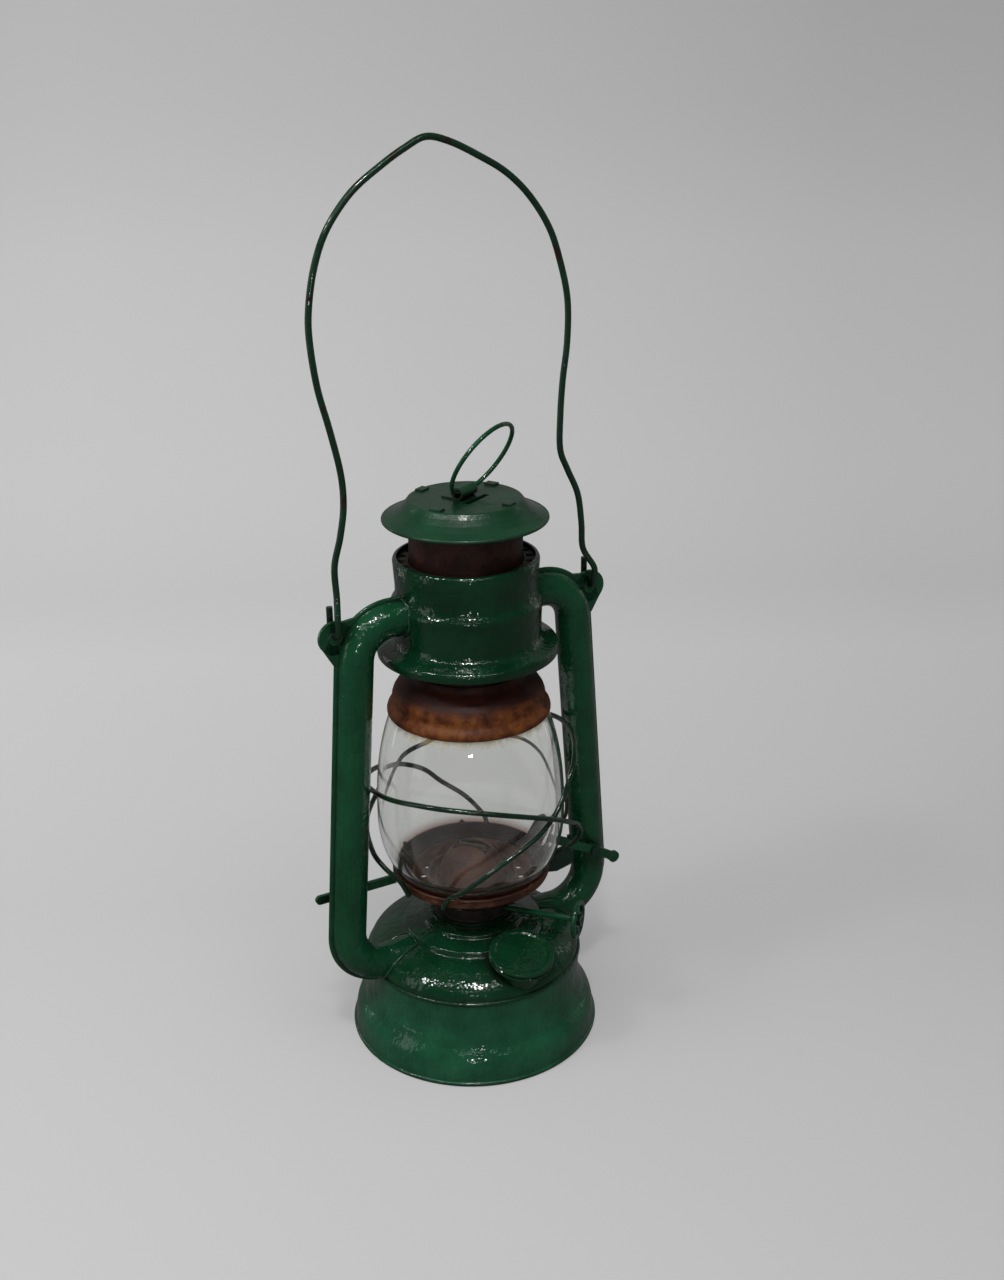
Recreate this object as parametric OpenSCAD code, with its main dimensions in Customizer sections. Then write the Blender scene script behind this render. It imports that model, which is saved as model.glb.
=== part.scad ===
// Hot-blast tubular kerosene lamp of pressed and painted sheet, about 24 cm high to its cap.
// Units are millimetres and +Z is up. The origin is the centre of the base, on the surface it stands on.
// The side tubes lie along X, the filler faces -Y, and the lift lever is on the +X tube.

/* [Sheet and wire] */
// Thickness of all pressed sheet
sheet = 0.8; // [0.5:0.1:1.4]
// Gap between parts that slide or turn past each other
run_gap = 0.4; // [0.3:0.05:0.8]
// Gap between parts that rest one on the other
seat_gap = 0.1; // [0.05:0.05:0.3]
// Diameter of the guard wires
guard_wire_d = 2.2; // [1.6:0.1:3]
// Diameter of the keeper wire
keeper_wire_d = 1.6; // [1.2:0.1:2.4]

/* [Base and fount] */
// Outer radius of the base rim
base_r = 54.7; // [48:0.1:70]
// Radius of the waist above the flared skirt
waist_r = 46.7; // [40:0.1:60]
// Height of the seam bead on which the dome meets the skirt
ledge_z = 36; // [30:0.5:50]
// Radius of the rolled wire edge at the foot of the skirt
rim_bead_r = 1.1; // [0.8:0.1:2]
// Rise of the fount's dome above the seam
dome_h = 11.8; // [8:0.1:18]
// Radius of the first pressed step on the dome
step_r1 = 30.2; // [26:0.1:34]
// Height of the first step
step_h1 = 2.8; // [1:0.1:4]
// Radius of the second pressed step
step_r2 = 22.4; // [20:0.1:25]
// Height of the second step
step_h2 = 1.8; // [1:0.1:3]
// Height of the fount's floor pan above the table
floor_z = 22; // [12:0.5:28]

/* [Filler] */
// Direction of the filler about the lamp's axis
filler_az = -86; // [-120:1:-60]
// Distance of the filler's axis in from the fount's waist, on the dome
filler_in = 9.3; // [8:0.1:12]
// Outward tilt of the filler
filler_tilt = 14.4; // [8:0.1:20]
// Outer radius of the filler neck
neck_r = 10.6; // [8:0.1:11.5]
// Outer radius of the fuel cap
cap_r = 13.9; // [12:0.1:14.5]
// Height of the fuel cap's lower edge above the dome, along the filler's axis
cap_low = 3; // [2.8:0.1:5]
// Height of the fuel cap
cap_h = 3.6; // [3:0.1:6]
// Rise of the fuel cap's thread in one turn
thread_pitch = 2; // [1:0.1:3]

/* [Burner] */
// Direction of the wick's width and of the knob's shaft
burner_az = -47; // [-60:1:-30]
// Outer radius of the burner's screw collar
collar_r = 17.6; // [15:0.1:20]
// Height of the burner from the fount's neck to the globe plate's seat
burner_h = 15.6; // [13:0.1:20]
// Radius of the burner's slotted dome
cone_r = 14.8; // [13:0.1:15.2]
// Height of the burner's slotted dome
cone_h = 19.5; // [12:0.1:22]
// Width of the flat wick
wick_w = 12; // [9:0.5:14]
// Thickness of the flat wick
wick_t = 1.9; // [1.5:0.1:2.4]
// Height of the knob's shaft above the fount's neck
shaft_z = 5.4; // [4.5:0.1:7]
// Diameter of the knob's shaft
shaft_d = 2.8; // [2:0.1:3.4]
// Outer radius of the two spur wheels that drive the wick
spur_r = 2.5; // [2.2:0.1:3]
// Number of teeth on each spur wheel
spur_teeth = 12; // [8:1:16]
// Distance of the knob from the lamp's axis
knob_out = 49; // [44:0.5:56]
// Radius of the knob
knob_r = 8.6; // [7:0.1:10]

/* [Globe and its carrier] */
// Height of the globe plate's rim above its seat on the burner
plate_h = 9; // [8:0.1:11]
// Height of the flat on which the globe's foot stands, above the same seat
plate_step = 4.2; // [3.5:0.1:5]
// Gap between the plate's rim and the glass
plate_gap = 0.15; // [0.1:0.05:0.6]
// Largest radius of the glass globe
globe_r = 40.1; // [37:0.1:46]
// Height of the glass globe
globe_h = 82.5; // [70:0.5:95]
// Radius of the globe's foot
globe_foot_r = 29.6; // [27:0.1:31]
// Radius of the globe's mouth
globe_top_r = 29.4; // [27:0.1:31]
// Thickness of the glass
glass_t = 1.8; // [1.2:0.1:2.5]
// Travel of the globe and its plate when the lever is pressed
carrier_lift = 8; // [5:0.5:8]

/* [Chimney and cap] */
// Outer radius of the inner chimney
chimney_r = 23; // [20:0.1:26]
// Gap between the bell's lip and the glass
bell_gap = 0.4; // [0.2:0.05:1]
// Length of the globe's top that the bell covers
bell_cover = 5.4; // [4:0.1:8]
// Height of the bell from its rim to its shoulder
bell_h = 17; // [14:0.5:22]
// Height of the chimney above the hood
chimney_rise = 15.9; // [10:0.1:24]
// Travel of the chimney when its ring is pulled up off the globe
chimney_lift = 10; // [6:0.5:12]
// Outer radius of the cap on the chimney
top_r = 33.5; // [30:0.1:38]
// Radius of the cap's flat top
top_flat_r = 22.8; // [22.5:0.1:26]
// Height of the cap
top_h = 8; // [5:0.1:12]

/* [Hood] */
// Outer radius of the hood's body
hood_r = 29.5; // [28:0.1:32]
// Outer radius of the hood's flared foot
hood_flange_r = 37.5; // [36:0.1:42]
// Height of the hood
hood_h = 41; // [36:0.5:50]
// Gap in height between the bell's rim and the hood's foot
hood_gap = 26.6; // [20:0.1:30]
// Outward swell of the hood's band
hood_swell = 1.9; // [0.5:0.1:3]
// Drop of the ring of air holes below the hood's top edge
ring_drop = 1.7; // [0:0.1:3]
// Number of air holes round the hood's top
air_holes = 24; // [16:1:28]
// Diameter of each air hole
air_hole_d = 3.4; // [2.5:0.1:4]

/* [Side tubes] */
// Outer radius of each side tube
tube_r = 7.5; // [6:0.1:9]
// Distance of the tube's axis from the side of the globe, below the upper bend
tube_top_out = 10.3; // [10:0.1:16]
// Distance of the tube's axis from the side of the globe, above the lower bend
tube_foot_out = 19.5; // [16:0.1:26]
// Radius of the upper bend, at the tube's axis
bend_top_r = 15.5; // [12:0.1:20]
// Radius of the lower bend, at the tube's axis
bend_low_r = 17.8; // [14:0.1:22]
// Height of the tube's upper leg above the hood's foot
tube_top_z = 19.8; // [17:0.1:26]
// Height of the tube's lower leg above the dome's seam
tube_low_z = 5.6; // [5:0.1:6]
// Slope of the lower leg up to the fount
tube_low_tilt = 3; // [0:0.5:6]
// Width of the seam flange on the outer side of each tube
seam_w = 1.7; // [1:0.1:3]
// Thickness of the seam flange and of the bail's ear
seam_t = 1.6; // [1:0.1:2.4]

/* [Bail] */
// Diameter of the bail's wire
bail_d = 2.6; // [2:0.1:3.2]
// Distance of each ear's hole from the tube's axis below the upper bend
ear_out = 8.1; // [7:0.1:12]
// Drop of the ear's hole below the axis of the tube's upper leg
ear_drop = 3.2; // [2:0.1:6]
// Radius of the ear
ear_r = 7; // [6.5:0.1:9]
// Radius of the hole in the ear
ear_hole_r = 3; // [2.2:0.1:3.4]
// Height of the bail's crown above its hooks
bail_rise = 180; // [120:1:220]

/* [Lift lever] */
// Distance of the lever's pivot in from the tube's axis above the lower bend
lever_in = 2.6; // [1:0.1:4]
// Height of the lever's pivot above the globe plate
lever_z = 2.5; // [1:0.1:4]
// Length of the lever from its pivot to the end of its toe
lever_toe = 22.3; // [21:0.1:24]
// Length of the lever from its pivot to the end of its thumb piece
lever_thumb = 15; // [12:0.1:20]
// Height of the lever's flat bar
lever_w = 3.9; // [3:0.1:5]
// Thickness of the lever and of the guide strip
strip_t = 1.6; // [1:0.1:2.4]
// Slope of the lever at rest
lever_slope = 28.2; // [24:0.1:32]
// Radius of the lever's pivot stud
stud_r = 1.3; // [1:0.1:1.6]

/* [Lift ring] */
// Radius of the lift ring, at its wire's centre
ring_r = 17; // [12:0.5:20]
// Diameter of the lift ring's wire
ring_d = 1.8; // [1.4:0.1:2.4]
// Length of the rolled loop that holds the ring
loop_l = 11; // [6:0.5:14]
// Direction of the loop and of the ring's pivot
ring_az = 28; // [0:1:90]
// Slope of the ring at rest
ring_lean = 59; // [30:1:85]

/* [Hidden] */
$fn = 48;
e = 0.01;

paint = "#1f5a3c";
rust = "#5a3216";
soot = "#20110d";
steel = "#8d8f90";

// Heights that follow from the sizes above
dome_z = ledge_z + dome_h;
step1_z = dome_z + step_h1;
step2_z = step1_z + (step_r1 - step_r2) * 0.2;
neck_z = step2_z + step_h2;
seat_z = neck_z + burner_h;
plate_z = seat_z + seat_gap;
plate_rim_z = plate_z + plate_h;
globe_z = plate_z + plate_step + sheet + seat_gap;
globe_top_z = globe_z + globe_h;
bell_z = globe_top_z - bell_cover;
hood_z = bell_z + hood_gap;
hood_top_z = hood_z + hood_h;
top_z = hood_top_z + chimney_rise;
flat_z = top_z + top_h;
leg_top_z = hood_z + tube_top_z;
leg_low_z = ledge_z + tube_low_z;
ear_z = leg_top_z - ear_drop;

// Radii and distances that follow from the globe and the fount
globe_mid = 0.38;
function globe_radius(u) =
    u < globe_mid ? globe_foot_r + (globe_r - globe_foot_r) * (1 - pow(1 - u / globe_mid, 2.6))
    : globe_top_r
        + (globe_r - globe_top_r) * pow(cos(90 * pow((u - globe_mid) / (1 - globe_mid), 1.15)), 0.7);
// Radius of the glass at height h above the globe plate's seat
function glass_at(h) = globe_radius((h - plate_step - sheet - seat_gap) / globe_h);
plate_r = glass_at(plate_h) + plate_gap + sheet;
bell_r = globe_radius(1 - bell_cover / globe_h) + bell_gap + sheet + 0.2;
tube_top_x = globe_r + tube_top_out;
tube_foot_x = globe_r + tube_foot_out;
ear_x = tube_top_x + ear_out;
lever_x = tube_foot_x - lever_in;
filler_r = waist_r - filler_in;
// Each share is a size over the size that its outline or its points were drawn for
skirt_k = ledge_z / 36;
hood_k = hood_h / 41;
bell_k = bell_h / 17;
guard_k = globe_h / 82.5;
bail_k = bail_rise / 180;

// Points of an arc about a centre, from angle a0 to a1 in n steps
function arc(c, r, a0, a1, n = 8) =
    [for (i = [0:n]) c + r * [cos(a0 + (a1 - a0) * i / n), sin(a0 + (a1 - a0) * i / n)]];
// The same list of points the other way round
function back(p) = [for (i = [len(p) - 1:-1:0]) p[i]];

// A revolved wall between an outer and an inner outline, both given from foot to top
module shell(outer, inner) {
    rotate_extrude($fn = 96) polygon(concat(outer, back(inner)));
}
// The solid inside an outline, down to the axis
module revolved(outer) {
    rotate_extrude($fn = 96) polygon(concat([[0, outer[0][1]]], outer, [[0, outer[len(outer) - 1][1]]]));
}

// Outline of the skirt, drawn in by d
function skirt_line(d) = concat(
    [[base_r - 0.7 - d, 1.6 * rim_bead_r]],
    [for (p = [[1.4, 5.2], [2.1, 8.2], [3, 11.2], [4, 13.8], [5.1, 16]])
        [base_r - p[0] * skirt_k - d, p[1] * skirt_k]],
    back([for (a = [0:2.75:19.25])
        [waist_r + 30 * skirt_k * (1 - cos(a)) - d, ledge_z - (8 + 30 * sin(a)) * skirt_k]]),
    [[waist_r - d, ledge_z - 0.9]]);

rest_flat = 0.15;
module base_skirt() {
    color(paint) {
        shell(skirt_line(0), skirt_line(sheet));
        // rolled wire edge that the lamp stands on
        difference() {
            rotate_extrude($fn = 96) translate([base_r - rim_bead_r, rim_bead_r - rest_flat])
                circle(rim_bead_r, $fn = 20);
            translate([0, 0, -2]) cylinder(r = base_r + 1, h = 2, $fn = 96);
        }
    }
}

// Radius of the circle that the dome's rounded edge is drawn round
dome_c = step_r1 - 2.2;
// Outline of the dome, drawn in by d, from the seam up to the burner's hole
function dome_line(d) = concat(
    [for (a = [0:6.5:78])
        [dome_c + (waist_r - dome_c - 0.3 - d) * cos(a), ledge_z + 0.9 + (dome_h - 0.9 - d) * sin(a)]],
    [[step_r1 - d, dome_z - d], [step_r1 - d, step1_z - 0.5 - d * 0.6]],
    [[step_r1 - 0.5 - d * 0.6, step1_z - d]],
    [[step_r2 - d * 0.8, step2_z - d], [step_r2 - d * 0.8, neck_z - 0.4 - d * 0.6]],
    [[step_r2 - 0.4 - d, neck_z - d], [collar_r - 3, neck_z - d]]);

// Places what is built along the filler's axis, with its zero where that axis meets the dome
filler_share = (filler_r - dome_c) / (waist_r - dome_c - 0.3);
filler_z = ledge_z + 0.9 + (dome_h - 0.9) * sqrt(1 - pow(filler_share, 2));
gasket_t = 0.5;
gasket_z = cap_low + cap_h - 0.5 - sheet - gasket_t;
module at_filler() {
    rotate([0, 0, filler_az]) translate([filler_r, 0, filler_z]) rotate([0, filler_tilt, 0]) children();
}

module fount_dome() {
    color(paint) {
        difference() {
            shell(dome_line(0), dome_line(sheet));
            at_filler() translate([0, 0, -8]) cylinder(r = neck_r - 1.4, h = 16);
        }
        // rolled seam between the dome and the skirt
        rotate_extrude($fn = 96) polygon(concat(
            [[waist_r - 2 * sheet, ledge_z - 0.9], [waist_r - 0.1, ledge_z - 0.9]],
            arc([waist_r - 0.1, ledge_z], 0.9, -80, 80, 8),
            [[waist_r - 0.1, ledge_z + 0.9], [waist_r - 2 * sheet, ledge_z + 0.9]]));
    }
}

module fount_floor() {
    side = waist_r - sheet - run_gap / 4;
    color(paint) rotate_extrude($fn = 96) polygon([
        [0, floor_z + 1.6], [waist_r - 9, floor_z + 1.6], [waist_r - 6, floor_z],
        [side, floor_z], [side, ledge_z - 5], [side - sheet, ledge_z - 5], [side - sheet, floor_z + sheet],
        [waist_r - 6.4, floor_z + sheet], [waist_r - 9.4, floor_z + 1.6 + sheet],
        [0, floor_z + 1.6 + sheet]]);
}

module filler_neck() {
    color(steel) difference() {
        at_filler() {
            difference() {
                union() {
                    translate([0, 0, -6]) cylinder(r = neck_r, h = gasket_z - 0.05 + 6);
                    // two turns of the rolled thread, drawn as plain beads
                    for (z = [cap_low + 0.5, cap_low + 1.3]) translate([0, 0, z])
                        rotate_extrude() translate([neck_r, 0]) circle(0.25, $fn = 16);
                }
                translate([0, 0, -8]) cylinder(r = neck_r - 1.4, h = 20);
            }
        }
        revolved(dome_line(0));
    }
}

// The cup of the fuel cap: two rolled rims round the side, and a raised ring round a plain face
module fuel_cap() {
    bore = neck_r + 0.25 + run_gap;
    top = cap_low + cap_h;
    color(paint) at_filler() rotate_extrude($fn = 72) polygon(concat(
        [[bore, cap_low], [cap_r - 0.5, cap_low]],
        arc([cap_r - 0.6, cap_low + 0.6], 0.6, -80, 80, 6),
        [[cap_r - 0.9, cap_low + 1.5], [cap_r - 0.9, top - 1.6]],
        arc([cap_r - 0.8, top - 0.8], 0.8, -60, 100, 8),
        [[cap_r - 2.2, top], [cap_r - 3, top - 0.5], [0, top - 0.5]],
        [[0, top - 0.5 - sheet], [bore, top - 0.5 - sheet]]));
}

module cap_gasket() {
    color("#2b2622") at_filler() translate([0, 0, gasket_z]) difference() {
            cylinder(r = neck_r, h = gasket_t - 0.05);
            translate([0, 0, -1]) cylinder(r = neck_r - 4, h = 3);
        }
}

module burner_collar() {
    color(paint) difference() {
        union() {
            translate([0, 0, neck_z]) cylinder(r = collar_r + 0.9, h = 1.6, $fn = 72);
            translate([0, 0, neck_z + 1.6]) cylinder(r = collar_r - 0.4, h = 1.2, $fn = 72);
        }
        translate([0, 0, neck_z - 1]) cylinder(r = collar_r - 2.6, h = 6, $fn = 72);
    }
}

// Local frame of the burner: X along the knob's shaft, Y across the wick
shaft_off = spur_r + wick_t / 2 + 0.15;
wick_gap = 0.35;
tube_wall = 0.5;
tube_w = wick_w + 2 * (wick_gap + tube_wall);
tube_d = wick_t + 2 * (wick_gap + tube_wall);
module at_burner() {
    rotate([0, 0, burner_az]) translate([0, 0, neck_z]) children();
}

module burner_body() {
    low = 2.8;
    color("#3a2a1c") at_burner() difference() {
        rotate_extrude($fn = 72) polygon([
            [0, low], [collar_r - 1, low], [collar_r, low + 0.8], [collar_r, low + 1.6],
            [collar_r - 1.2, low + 2.4], [collar_r - 1.2, shaft_z + 3], [collar_r - 2.4, shaft_z + 4.2],
            [collar_r - 2.4, burner_h - 3], [collar_r + 0.6, burner_h - 1.4], [collar_r + 0.6, burner_h],
            [cone_r, burner_h], [cone_r, burner_h - 1.3], [0, burner_h - 1.3]]);
        // hollow inside, between the floor and the roof that both hold the wick tube
        translate([0, 0, low + sheet])
            cylinder(r = collar_r - 3.6, h = burner_h - 1.3 - low - 2 * sheet, $fn = 72);
        // passages for the wick tube, the shaft and the air
        translate([-tube_w / 2 - 0.1, -tube_d / 2 - 0.1, 0]) cube([tube_w + 0.2, tube_d + 0.2, burner_h]);
        translate([0, -shaft_off, shaft_z]) rotate([0, 90, 0]) cylinder(d = shaft_d + 0.16, h = 60);
        // room for the spur wheels, open to the fount below
        translate([-wick_w / 2 - 1, -shaft_off, shaft_z]) rotate([0, 90, 0])
            cylinder(r = spur_r + 0.3, h = wick_w + 2);
        for (a = [20:40:340]) rotate([0, 0, a])
            translate([0, 0, shaft_z + 6]) rotate([0, 90, 0]) cylinder(r = 1.1, h = 30, $fn = 24);
        for (a = [0:30:330]) rotate([0, 0, a])
            translate([10.5, 0, burner_h - 4]) cylinder(r = 1.4, h = 4, $fn = 24);
    }
}

// Rounded dome over the wick, with its flame slot and a ring of air holes
module burner_dome() {
    c = cone_r - 0.2;
    function line(d) = concat([[c - d, 0], [c - d, 2]],
        [for (a = [0:7.5:90]) [(c - d) * cos(a), 2 + (cone_h - 2 - d) * sin(a)]]);
    color("#3a2a1c") at_burner() translate([0, 0, burner_h - 1.2]) difference() {
        rotate_extrude($fn = 72) polygon(concat(line(0), back(line(sheet))));
        translate([-wick_w / 2 - 1.6, -3.2, 4]) cube([wick_w + 3.2, 6.4, cone_h]);
        for (a = [0:30:330]) rotate([0, 0, a]) translate([0, 0, 1.9])
            rotate([0, 90, 0]) cylinder(r = 0.9, h = 20, $fn = 24);
    }
}

module wick_tube() {
    w = tube_w;
    t = tube_d;
    color("#6b4f2e") at_burner() difference() {
        translate([-w / 2, -t / 2, -6]) cube([w, t, burner_h + cone_h - 4 + 6]);
        translate([-wick_w / 2 - wick_gap, -wick_t / 2 - wick_gap, -7])
            cube([wick_w + 2 * wick_gap, wick_t + 2 * wick_gap, 60]);
        // window through which the spurs reach the wick
        translate([-wick_w / 2, -t / 2 - 1, shaft_z - spur_r - 0.6])
            cube([wick_w, 1.1 + tube_wall, 2 * spur_r + 1.2]);
    }
}

module wick() {
    color("#d9cfb8") at_burner() translate([-wick_w / 2, -wick_t / 2, floor_z + 9.5 - neck_z])
        cube([wick_w, wick_t, neck_z - floor_z - 9.5 + burner_h + cone_h - 2.4]);
}

// Toothed wheel, one tooth at a time round a plain hub
module spur(h) {
    rotate([0, 90, 0]) {
        cylinder(r = spur_r - 0.6, h = h, $fn = 36);
        for (i = [0:spur_teeth - 1]) rotate([0, 0, i * 360 / spur_teeth])
            linear_extrude(h)
                polygon([[spur_r - 0.8, -0.34], [spur_r, -0.06], [spur_r, 0.06], [spur_r - 0.8, 0.34]]);
    }
}

module wick_shaft() {
    color(paint) at_burner() translate([0, -shaft_off, shaft_z]) {
        translate([-wick_w / 2 - 0.5, 0, 0]) rotate([0, 90, 0])
            cylinder(d = shaft_d, h = knob_out + wick_w / 2 - 0.9);
        for (x = [-wick_w / 4 - 0.9, wick_w / 4 - 0.9]) translate([x, 0, 0]) spur(1.8);
    }
}

// Stamped wheel with a rolled rim, a dished web and four openings
module wick_knob() {
    color(paint) at_burner() translate([knob_out - 1.4, -shaft_off, shaft_z]) rotate([0, 90, 0]) {
        rotate_extrude() translate([knob_r - 1.1, 1.4]) circle(1.1, $fn = 20);
        difference() {
            union() {
                translate([0, 0, 0.9]) cylinder(r = knob_r - 1.2, h = 1);
                cylinder(r = 2.6, h = 3.2);
            }
            translate([0, 0, -1]) cylinder(d = shaft_d, h = 6);
            for (a = [45:90:315]) rotate([0, 0, a]) intersection() {
                difference() {
                    translate([0, 0, -1]) cylinder(r = knob_r - 2.2, h = 6);
                    translate([0, 0, -2]) cylinder(r = 3.5, h = 8);
                }
                translate([0, 0, -1]) linear_extrude(6)
                    polygon([[1.2, 0], [12, -8.6], [14, 0], [12, 8.6]]);
            }
        }
    }
}

// Outline of the hood, drawn in by d, from its foot to its top edge
function hood_line(d) = concat(
    [[hood_flange_r - 0.3 - d, hood_z]],
    [for (p = arc([hood_flange_r - 2.2, 2.2], 2.2 - d, 0, 75, 5)) p + [0, hood_z]],
    [for (p = arc([hood_r + 4.7, 8.8], 3.8 + d, 262, 180, 6)) p + [0, hood_z]],
    [[hood_r + 1 - d, hood_z + 16 * hood_k], [hood_r + 1.2 - d, hood_z + 19 * hood_k]],
    // rolled shoulder above which the hood is narrower
    [for (p = [[0.85, 20.2], [1, 21.4], [0.95, 22.5], [0.7, 23.4], [0.3, 24.3], [0, 25.4]])
        [hood_r - 0.3 + hood_swell * p[0] - d, hood_z + p[1] * hood_k]],
    [[hood_r - 0.4 - d, hood_z + 29 * hood_k], [hood_r - d, hood_z + 35 * hood_k]],
    [[hood_r + 0.3 - d, hood_top_z - 1.2]],
    [[hood_r - 0.1 - d, hood_top_z - 0.3], [hood_r - 0.6 - d, hood_top_z]]);

module hood_body() {
    color(paint) difference() {
        shell(hood_line(0), hood_line(sheet));
        // mouths of the two side tubes
        for (s = [-1, 1]) translate([0, 0, leg_top_z]) rotate([0, 90 * s, 0])
            cylinder(r = tube_r - sheet, h = 60);
    }
}

module hood_top_ring() {
    outer = hood_r - 0.1 - sheet;
    inner = chimney_r + run_gap;
    top = hood_top_z - ring_drop;
    color(paint) difference() {
        rotate_extrude($fn = 96) polygon([
            [outer, top - 3], [outer, top - 0.8], [outer - 0.8, top], [inner, top],
            [inner, top - sheet], [outer - sheet, top - sheet], [outer - sheet, top - 3]]);
        for (i = [0:air_holes - 1]) rotate([0, 0, 8 + i * 360 / air_holes])
            translate([(outer + inner) / 2 - 0.1, 0, top - 2]) cylinder(d = air_hole_d, h = 4, $fn = 24);
    }
}

// Path of a side tube, in the plane Y = 0: upper leg, upper bend, splayed run, lower bend, lower leg
run_h = leg_top_z - bend_top_r - leg_low_z - bend_low_r;
splay = atan((tube_foot_x - tube_top_x) / run_h);
top_c = [tube_top_x - bend_top_r * cos(splay), leg_top_z - bend_top_r];
top_end = top_c + bend_top_r * [cos(splay), sin(splay)];
low_cz = leg_low_z + bend_low_r * cos(tube_low_tilt);
run_l = (top_end[1] - low_cz - bend_low_r * sin(splay)) / cos(splay);
low_start = top_end + run_l * [sin(splay), -cos(splay)];
low_c = low_start - bend_low_r * [cos(splay), sin(splay)];
low_end = low_c - bend_low_r * [sin(tube_low_tilt), cos(tube_low_tilt)];

// A bend of the XZ plane about centre c, from angle a0 down to a1, of a profile drawn out from the centre
module bend(c, a0, a1) {
    translate([c[0], 0, c[1]]) rotate([90, 0, 0]) rotate([0, 0, a1])
        rotate_extrude(angle = a0 - a1) children();
}
// Places a straight run that starts at point p of the XZ plane and heads a degrees away from straight up
module run(p, a) {
    translate([p[0], 0, p[1]]) rotate([0, a, 0]) children();
}
// Straight runs reach this far into the bends, and are this much fuller than them
lap = 1;
full = 0.15;

// The tube's body, with radius r
module tube_body(r) {
    run([hood_r - 8, leg_top_z], 90) cylinder(r = r + full, h = top_c[0] - hood_r + 8 + lap);
    bend(top_c, 90, splay) translate([bend_top_r, 0]) circle(r);
    run(top_end, 180 - splay) translate([0, 0, -lap]) cylinder(r = r + full, h = run_l + 2 * lap);
    bend(low_c, splay, -90 - tube_low_tilt) translate([bend_low_r, 0]) circle(r);
    run(low_end, -90 + tube_low_tilt) translate([0, 0, -lap])
        cylinder(r = r + full, h = low_end[0] - step_r1 + 1 + lap);
}

// The seam flange that runs along the tube's outer side
module tube_seam() {
    w = seam_w + 1;
    t = seam_t + 2 * full;
    run([hood_r - 8, leg_top_z], 90) translate([-tube_r - w + 1 - full, -t / 2, 0])
        cube([w, t, top_c[0] - hood_r + 8 + lap]);
    bend(top_c, 90, splay) translate([bend_top_r + tube_r - 1, -seam_t / 2]) square([w, seam_t]);
    run(top_end, 180 - splay) translate([-tube_r - w + 1 - full, -t / 2, -lap])
        cube([w, t, run_l + 2 * lap]);
    bend(low_c, splay, -90 - tube_low_tilt)
        translate([bend_low_r + tube_r - 1, -seam_t / 2]) square([w, seam_t]);
    run(low_end, -90 + tube_low_tilt) translate([-tube_r - w + 1 - full, -t / 2, -lap])
        cube([w, t, low_end[0] - step_r1 + 1 + lap]);
}

// The ear that the bail hooks into, grown out of the seam flange
module ear() {
    rotate([90, 0, 0]) translate([0, 0, -seam_t / 2]) linear_extrude(seam_t) {
        translate([ear_x, ear_z]) circle(ear_r, $fn = 64);
        polygon([
            [top_c[0] + 2, leg_top_z + 2], [top_c[0] + 8, leg_top_z + tube_r - 1],
            [ear_x - 3, ear_z + ear_r - 0.7], [ear_x, ear_z], [ear_x + ear_r * 0.71, ear_z - ear_r * 0.7],
            [tube_top_x + tube_r + 1, ear_z - ear_r - 4.6], [tube_top_x, ear_z - ear_r - 6]]);
    }
}

module side_tube() {
    difference() {
        union() {
            tube_body(tube_r);
            tube_seam();
            ear();
        }
        tube_body(tube_r - sheet);
        translate([ear_x, 10, ear_z]) rotate([90, 0, 0]) cylinder(r = ear_hole_r, h = 20, $fn = 48);
        // the legs end on the hood's wall and on the fount's dome
        revolved(hood_line(0));
        revolved(dome_line(0));
        cylinder(r = waist_r + 0.8, h = ledge_z + 0.9, $fn = 96);
    }
}
module right_tube() {
    color(paint) side_tube();
}
module left_tube() {
    color(paint) mirror([1, 0, 0]) side_tube();
}

// The dished plate that carries the globe and rests on the burner
module globe_plate() {
    outer = concat(
        [[collar_r + 1.4, 3.6], [collar_r + 1.4, 0]],
        [[plate_r - 9.5, 0], [plate_r - 7.6, plate_step - 0.4], [plate_r - 7, plate_step]],
        [for (p = arc([plate_r - 1.6, plate_step + 1.6], 1.6, -90, 0, 5)) p],
        [[plate_r, plate_h - 1]],
        arc([plate_r - 0.1, plate_h - 0.6], 0.6, -60, 150, 7));
    inner = concat(
        [[collar_r + 1.4 + sheet, 3.6], [collar_r + 1.4 + sheet, sheet]],
        [[plate_r - 9.9, sheet], [plate_r - 8.1, plate_step + sheet - 0.4]],
        [[plate_r - 7.4, plate_step + sheet]],
        [for (p = arc([plate_r - 1.6, plate_step + 1.6], 1.6 - sheet, -90, 0, 5)) p],
        [[plate_r - sheet, plate_h - 1]]);
    color(rust) difference() {
        union() {
            translate([0, 0, plate_z]) rotate_extrude($fn = 96) polygon(concat(outer, back(inner)));
            // the lip that rests on the burner
            translate([0, 0, plate_z]) difference() {
                cylinder(r = collar_r + 1.5, h = sheet, $fn = 96);
                translate([0, 0, -1]) cylinder(r = cone_r + 0.8, h = 4, $fn = 96);
            }
            // small teeth that keep the globe's foot in place
            for (a = [70, 128, 176, 232, 290]) rotate([0, 0, a])
                translate([plate_r - 0.4, 0, plate_rim_z - 1.6]) rotate([0, 12, 0]) rotate([90, 0, 90])
                    linear_extrude(sheet) polygon([[-2.6, 0], [2.6, 0], [0.5, 2.8], [-0.5, 2.8]]);
        }
        // air slots round the sloping step
        for (i = [0:17]) rotate([0, 0, i * 20 + 10]) translate([plate_r - 12, 0, plate_z - 1])
            cylinder(r = 1.3, h = 6, $fn = 24);
    }
}

// Outline of the globe, drawn in by d, from its foot to its mouth
function globe_line(d) = [for (u = [0:0.05:1]) [globe_radius(u) - d, globe_z + globe_h * u]];

module globe() {
    color("#dfe8e6", 0.4) shell(globe_line(0), globe_line(glass_t));
}

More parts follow.
